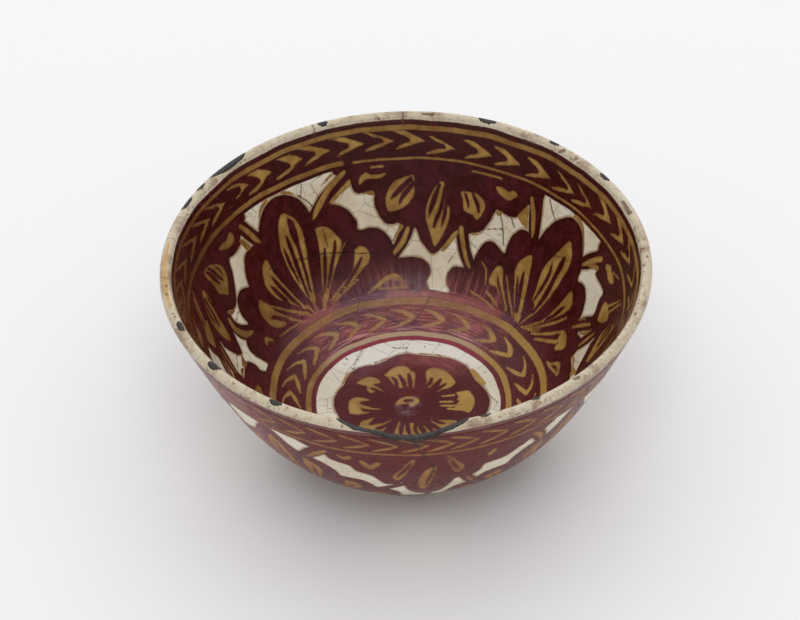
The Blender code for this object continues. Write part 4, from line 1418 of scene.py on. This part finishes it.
HANGING_OUTSIDE = {
    "at": (275, 3, 93, 184),
    "red": [
        [(-50, 15), (-44, 24), (-41.7, 28.3), (-34.2, 30.8), (-31.7, 35.8), (-25, 39.2),
         (-21.7, 45), (-19.2, 48.3), (-13.3, 47.5), (-11.7, 45), (-9.2, 56.7),
         (-5, 63.3), (0, 66.7), (6.7, 63.3), (10.8, 53.3), (13.3, 45), (20, 45.8),
         (24.2, 41.7), (25.8, 35.8), (35, 35), (40, 30.8), (44.2, 27.5), (50, 15)],
        [(-43, 19, 3.2), (-50, 26, 3.3), (-56, 34, 2.8)],
        [(44, 20, 3), (50, 26.7, 3), (54, 36, 2.6)],
        [(-23, 57, 2), (-16, 51.5, 2), (-11, 48, 1.6)],
        [(17, 43, 2.8), (21, 51, 2.8), (26.5, 60, 2.4)],
        [(1, 64, 1.4), (2, 75, 1.2), (2, 88, 1.6)],
        [(-20, 102), (-8, 93), (0, 85), (2, 84), (6, 87), (15, 94), (28, 102)],
    ],
    "ochre": [
        [(-1.7, 57.5), (-3.7, 51.7), (-4.2, 45), (-3.7, 40), (-2.5, 35), (-.8, 31.3),
         (1.7, 28.3), (3.3, 30), (3.2, 35), (2.5, 40), (1.7, 45), (.8, 50), (-.3, 54.2)],
        [(-6.7, 20), (-10, 25.8), (-12.5, 31.7), (-14.5, 35.3), (-15.8, 38.3),
         (-15.8, 40.8), (-14.2, 42.5), (-12.5, 41.7), (-11.7, 40), (-9.7, 35.3),
         (-8.3, 30), (-6.7, 25.3), (-5.8, 21.7)],
        [(6.7, 18.7), (7.7, 22.5), (8.3, 26.7), (9.7, 31.3), (10.8, 35), (12, 37.3),
         (13.3, 38.3), (14.8, 36.7), (15.8, 33.3), (14.8, 30.3), (13.3, 28.3),
         (11.5, 25.3), (10, 21.7), (8.3, 19.3)],
        [(-29.2, 25), (-28, 28.7), (-25, 32.5), (-22.5, 29.7), (-20, 25), (-21.7, 23.8),
         (-23.7, 26.3), (-25, 27.5), (-26.3, 25), (-28, 23.3)],
        [(24.7, 25), (25.3, 27.3), (27, 27), (28.7, 24.7), (28.3, 22.3), (26.7, 21.7),
         (26, 23.7)],
        [(-38.3, 21.7), (-37.3, 24.3), (-35, 25.3), (-32.7, 24), (-31.7, 21.3),
         (-33.3, 20.3), (-34.7, 22.3), (-36.3, 22.3), (-37.3, 20.7)],
        [(-43, 21, 1), (-49, 27, 1.3), (-54, 33, .7)],
        [(46, 22, 1), (50.5, 27, 1.3), (53.5, 34, .8)],
        [(18.5, 46, .8), (23, 55, .9)],
        [(0, 93, .8), (1, 98, 1.2)],
    ],
    "veins": [
        [(1.6, 33, .4), (.8, 40, .8), (-.6, 50, .5)],
        [(-13.8, 39, .5), (-11.5, 34, 1), (-9, 28, .8), (-7.2, 23, .4)],
        [(13.2, 35.5, .5), (11.6, 31, 1), (9.8, 26, .8), (8.2, 21, .4)],
    ],
}
RIGHT_HALF = [
    (0, 17), (4.5, 20), (11.2, 30), (22, 34.2), (27.8, 40), (29.5, 45.8), (32, 46),
    (40.3, 46.7), (44.5, 51.7), (45.3, 54.2), (52.8, 57.5), (56.7, 63.3), (57, 71.7),
    (55.3, 88.3), (50, 94),
]
RIGHT_LEAVES = [
    [(13, 37), (18, 40), (20, 45), (17, 55), (12, 66), (7, 78), (8, 66), (10, 55),
     (11, 45)],
    [(30, 52), (36, 53), (38, 58), (32, 66), (22, 76), (12, 86), (20, 73), (27, 63),
     (29, 57)],
    [(43, 66), (49, 68), (50, 74), (44, 80), (32, 86), (20, 91), (32, 81), (40, 74)],
]
RIGHT_VEINS = [
    [(16, 44, .4), (14, 54, 1.1), (10, 67, .7)],
    [(34, 57, .4), (29, 65, 1.1), (20, 76, .7)],
    [(46, 71, .4), (40, 78, 1), (30, 85, .6)],
]


def mirrored(shape):
    return [(-x, *rest) for x, *rest in shape]


STANDING_OUTSIDE = {
    "at": (231, 318, 48, 139),
    "red": [RIGHT_HALF + mirrored(RIGHT_HALF)[:0:-1]],
    "ochre": [
        [(0, 25), (4, 32), (5, 42), (4, 55), (2, 70), (0, 82), (-2, 70), (-4, 55),
         (-5, 42), (-4, 32)],
        *RIGHT_LEAVES, *[mirrored(leaf) for leaf in RIGHT_LEAVES],
    ],
    "veins": [
        [(0, 31, .4), (0, 45, 1.3), (0, 62, .9), (0, 74, .4)],
        *RIGHT_VEINS, *[mirrored(vein) for vein in RIGHT_VEINS],
    ],
}
OUTSIDE_TIPS = (252.6, 260.4, 267.2, 274.4, 280.6, 286.5, 293.8, 301.6, 309.4)
OUTSIDE_STEP = 7.96
OUTSIDE_CHEVRON = [
    [(-10.5, 1.2, .7), (-5, 3.6, .9), (0, 7, .5)],
    [(-10, 12.6, .6), (-5, 10.2, 1), (0, 7.2, .5)],
]
# The painter's pattern sits this much lower under the lip than at the heel
LOWERED, LOWERED_END, LOWERED_FADE = 4.0, 110.0, 60.0
CRACK_AZIMUTH, SMUDGE_AZIMUTH = 271, 269.5
BREAK_CRACK = [
    (-1, -2, .4), (0, 2, .4), (1.2, 6, .3), (2.2, 10, .25), (4.6, 18.3, .2), (8, 28.3, .15),
    (9, 36, .1),
]
BREAK_SMUDGE = [
    (-19, -4), (-14, 2.2), (-9, 4), (-4, 5.5), (0, 7), (5, 8.4), (7.5, 7), (9, 4.5),
    (13, 2.6), (17, -4),
]

points, azimuths, runs = places_on(outer_glaze, cubic(OUTER_CURVE, 0, 1, 2000))
runs = runs - LOWERED * np.clip((LOWERED_END - runs) / LOWERED_FADE, 0, 1)
red, ochre, crack, stain = (np.full(len(points), FARTHEST) for _ in range(4))
for motif in (HANGING_OUTSIDE, STANDING_OUTSIDE):
    for middle in motif["at"]:
        motif_painted(red, ochre, around(azimuths, runs, middle, -ACROSS), motif)
unseen = 360 - OUTSIDE_TIPS[-1] + OUTSIDE_TIPS[0]
more = round(unseen / OUTSIDE_STEP)
spacing = unseen / more
for tip in OUTSIDE_TIPS + tuple(OUTSIDE_TIPS[-1] + spacing * i for i in range(1, more)):
    for shape in OUTSIDE_CHEVRON:
        painted(ochre, around(azimuths, runs, tip, -ACROSS), shape)
painted(crack, around(azimuths, runs, CRACK_AZIMUTH, -ACROSS), BREAK_CRACK)
painted(stain, around(azimuths, runs, SMUDGE_AZIMUTH, -ACROSS), BREAK_SMUDGE)
stored(outer_glaze, run=runs, red=red, ochre=ochre, crack=crack, stain=stain)

LIP_BORDER, HEEL_BORDER = (-12, 18), (91.5, 110)
LIP_LINE, HEEL_LINE = (14.7, 16.3), (94.4, 96.2)

outside = PaintedGlaze("outside_painted_glaze")
red_share = most(
    outside.patch(outside.red), outside.band(*LIP_BORDER), outside.band(*HEEL_BORDER),
)
ochre_share = most(
    outside.patch(outside.ochre), outside.band(*LIP_LINE), outside.band(*HEEL_LINE),
)
lip_share = outside.fall(outside.run, -2.5, 0.5)
# Painted sheen: faint streaks of reflection over the outside.
sheen = outside.rise(outside.streaks(9, 1.2), 0.5, 0.75) * 0.1
# Painted reflection: a pink patch on the red at the front left of the wall.
pink_reflection = outside.fall(abs(outside.azimuth + 139), 5, 20) * outside.fall(outside.run, 34, 70)
low = outside.fall(outside.run, 0, 120) * 0.6
painted_colour = outside.laid_on(
    red_share, ochre_share, lip_share, sheen, low, 0,
    (tone(84, 9, 4), tone(108, 20, 12), tone(96, 14, 8)),
    (tone(134, 82, 36), tone(168, 119, 58)), OUTSIDE_SHINE,
)
pink_reflection = pink_reflection * outside.rise(outside.streaks(12, 2.5, 6.0), 0.35, 0.65) * red_share
smudge = outside.fall(outside.measure("stain") + 3 * outside.shake, -2.5, 0.8)
outside.set(Base_Color=outside.layers(
    painted_colour, (pink_reflection * 0.3, tone(176, 70, 92)), (smudge * 0.5, tone(52, 34, 32)),
))
outside.onto(outer_glaze)

# Glaze under the floor. A thin pool of plain white glaze inside the foot,
# wiped and left a little uneven.

POOL_TOP = 5.7
POOL_FACE = [(33, 5.2), (25, 5.22), (15, 5.24), (6, 5.22), (0, 5.22)]

pool_edge = foot_inner - GAP
pool_line = [(radius, POOL_TOP) for radius in (0, 6, 15, 25, 33, 35, pool_edge)]
pool_line += [(pool_edge, 5.45), (pool_edge - 0.25, 5.2), *POOL_FACE]
pool_columns = [1] + [CLAY_COLUMNS] * (len(pool_line) - 2) + [1]
pool = turned("under_glaze", pool_line, pool_columns)
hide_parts("glaze_under_foot")
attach(pool, "root")

plain = Finish("plain_white_glaze")
cloud = plain.noise(60, 4, 0.6)
smears = plain.rise(plain.noise(150, 3, 0.65, 4.0), 0.5, 0.72)
pits = plain.fall(plain.spots(300), 0.07, 0.14)
plain.set(Roughness=0.2 + 0.3 * smears, Base_Color=plain.layers(
    tone(206, 200, 186),
    (plain.rise(cloud, 0.4, 0.62), tone(182, 172, 152)),
    (plain.fall(plain.net(190), 0.01, 0.04) * 0.5, tone(120, 104, 86)),
    (smears * 0.3, tone(150, 132, 108)),
    (pits * 0.6, tone(88, 72, 58)),
))
plain.bumps(0.8 * cloud + 0.3 * smears - 0.3 * pits, 0.4)
plain.onto(pool)

# Fills in the lip. Each lost flake is made up with dark grey filler, pressed
# into its hollow and rubbed down to the line of the lip.

FILL_GAP = 0.3
FRONT_GAP = 0.1
FRONT_AZIMUTH, FRONT_SPREAD = 270, 22
THINNEST = 0.1
RIM_DEEP = 15.0


def rim_block(azimuth, spread, depth):
    """Stretch of the whole rim, which a fill is rubbed down flush with."""
    inner = cubic(INNER_CURVE, depth / INNER_PACE, 0, 20)
    outer = cubic(OUTER_CURVE, 0, depth / OUTER_PACE, 20)
    ring = np.vstack((inner, crown(0, 40)[1:-1], outer))
    count = len(ring)
    angles = np.radians(np.arange(azimuth - spread, azimuth + spread + 0.2, 0.4))
    points = [(r * math.cos(a), r * math.sin(a), z) for a in angles for r, z in ring]
    faces = [tuple(range(count)), tuple(range(len(points) - 1, len(points) - count - 1, -1))]
    for i in range(len(angles) - 1):
        for j in range(count):
            low, low_next = i * count + j, i * count + (j + 1) % count
            faces.append((low, low_next, low_next + count, low + count))
    return mesh_object("rim_block", points, faces)


fills = {
    name: flake(name + "_filler", chip, FILL_GAP, 5) for name, chip in CHIPS.items()
}
bed = seat + (0, FRONT_GAP, FRONT_GAP)
paste = front_edge(FRONT_PASTE, PASTE_RAGGED, 2)
paste[:, 1:] = np.maximum(paste[:, 1:], bed[:, 1:] + THINNEST)
fills["front_rim_fill"] = front_block("front_rim_fill_filler", bed, paste)
for name, filler in fills.items():
    azimuth, spread = FRONT_AZIMUTH, FRONT_SPREAD
    if name in CHIPS:
        azimuth, spread = CHIPS[name][0], CHIPS[name][2] + 2
    block = rim_block(azimuth, spread, RIM_DEEP)
    applied(filler, "INTERSECT", block)
    bpy.data.objects.remove(block)
    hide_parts(name)
    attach(filler, "root")

gritty = Finish("dark_filler")
lumps = gritty.noise(420, 4, 0.65)
grit = gritty.noise(2200, 2, 0.6, 3.0)
gritty.set(Roughness=0.5 + 0.35 * lumps, Base_Color=gritty.layers(
    tone(26, 24, 24),
    (gritty.rise(lumps, 0.38, 0.64), tone(56, 52, 50)),
    (gritty.rise(grit, 0.58, 0.7) * 0.3, tone(98, 88, 78)),
))
gritty.bumps(lumps + 0.3 * grit, 0.35)
for filler in fills.values():
    gritty.onto(filler)

raw = Finish("raw_break")
crumbs = raw.noise(1500, 3, 0.6)
dirt = raw.rise(raw.noise(240, 3, 0.6, 5.0), 0.42, 0.62)
raw.set(Roughness=0.85, Base_Color=raw.layers(
    tone(196, 180, 152), (dirt, tone(96, 78, 64)), (crumbs * 0.4, tone(60, 50, 44)),
))
raw.bumps(crumbs, 0.12)
for piece in (clay, glaze, outer_glaze):
    piece.data.materials[1] = raw.material

for cutter in list(breaks.objects):
    bpy.data.objects.remove(cutter)
bpy.data.collections.remove(breaks)

# Floor, light and camera of the studio. A pale seamless floor under a broad
# soft light, and a long lens that looks down into the bowl.

FLOOR_SIZE = 3.0

form = bmesh.new()
grid = bmesh.ops.create_grid(form, x_segments=60, y_segments=60, size=FLOOR_SIZE)
bmesh.ops.translate(form, verts=grid["verts"], vec=(0, FLOOR_SIZE / 2, 0))
mesh = bpy.data.meshes.new("floor")
form.to_mesh(mesh)
form.free()
mesh.shade_smooth()
floor = bpy.data.objects.new("floor", mesh)
bpy.context.scene.collection.objects.link(floor)
paper = Finish("paper")
pale = paper.colours(paper.noise(700, 2), (0.88, 0.88, 0.89), (0.91, 0.91, 0.92))
paper.set(Base_Color=pale, Roughness=0.9)
paper.onto(floor)

world = bpy.data.worlds.new("studio")
bpy.context.scene.world = world
world.use_nodes = True
sky = world.node_tree.nodes["Background"]
sky.inputs["Color"].default_value = (1.0, 1.0, 1.0, 1.0)
sky.inputs["Strength"].default_value = 0.62


def soft_light(name, place, size, power, target=(0, 0, 0.05)):
    panel = bpy.data.lights.new(name, "AREA")
    panel.shape = "RECTANGLE"
    panel.size, panel.size_y = size
    panel.energy = power
    light = bpy.data.objects.new(name, panel)
    light.location = place
    aim = Vector(target) - Vector(place)
    light.rotation_euler = aim.to_track_quat("-Z", "Y").to_euler()
    bpy.context.scene.collection.objects.link(light)


soft_light("top_softbox", (0, 0.3, 1.8), (2.6, 2.2), 9.5)
soft_light("back_softbox", (0, 1.8, 0.8), (2.0, 1.0), 9.3)
soft_light("front_softbox", (0, -0.9, 1.5), (0.8, 0.8), 6.0)

LOOK_DOWN = 40.47
DISTANCE = 1.6016
ROLL = -1.167
PIXELS_WIDE, PIXELS_HIGH = 800, 620
FOCAL_PIXELS = 3951
SENSOR_WIDTH = 36
RIM_PIXEL = (405.75, 260.0)
AIM_HEIGHT = 0.0929

down, roll = math.radians(LOOK_DOWN), math.radians(ROLL)
back = Vector((0, -math.cos(down), math.sin(down)))
right, up = Vector((1, 0, 0)), Vector((0, math.sin(down), math.cos(down)))
camera_x = math.cos(roll) * right + math.sin(roll) * up
camera_y = -math.sin(roll) * right + math.cos(roll) * up
lens = bpy.data.cameras.new("camera")
lens.sensor_width = SENSOR_WIDTH
lens.lens = FOCAL_PIXELS * SENSOR_WIDTH / PIXELS_WIDE
lens.shift_x = -(RIM_PIXEL[0] - PIXELS_WIDE / 2) / PIXELS_WIDE
lens.shift_y = (RIM_PIXEL[1] - PIXELS_HIGH / 2) / PIXELS_WIDE
lens.clip_start = 0.05
camera = bpy.data.objects.new("camera", lens)
bpy.context.scene.collection.objects.link(camera)
facing = Matrix((camera_x, camera_y, back)).transposed().to_4x4()
standing = Matrix.Translation(Vector((0, 0, AIM_HEIGHT)) + back * DISTANCE)
camera.matrix_world = standing @ facing
bpy.context.scene.camera = camera
bpy.context.scene.view_settings.view_transform = "Standard"
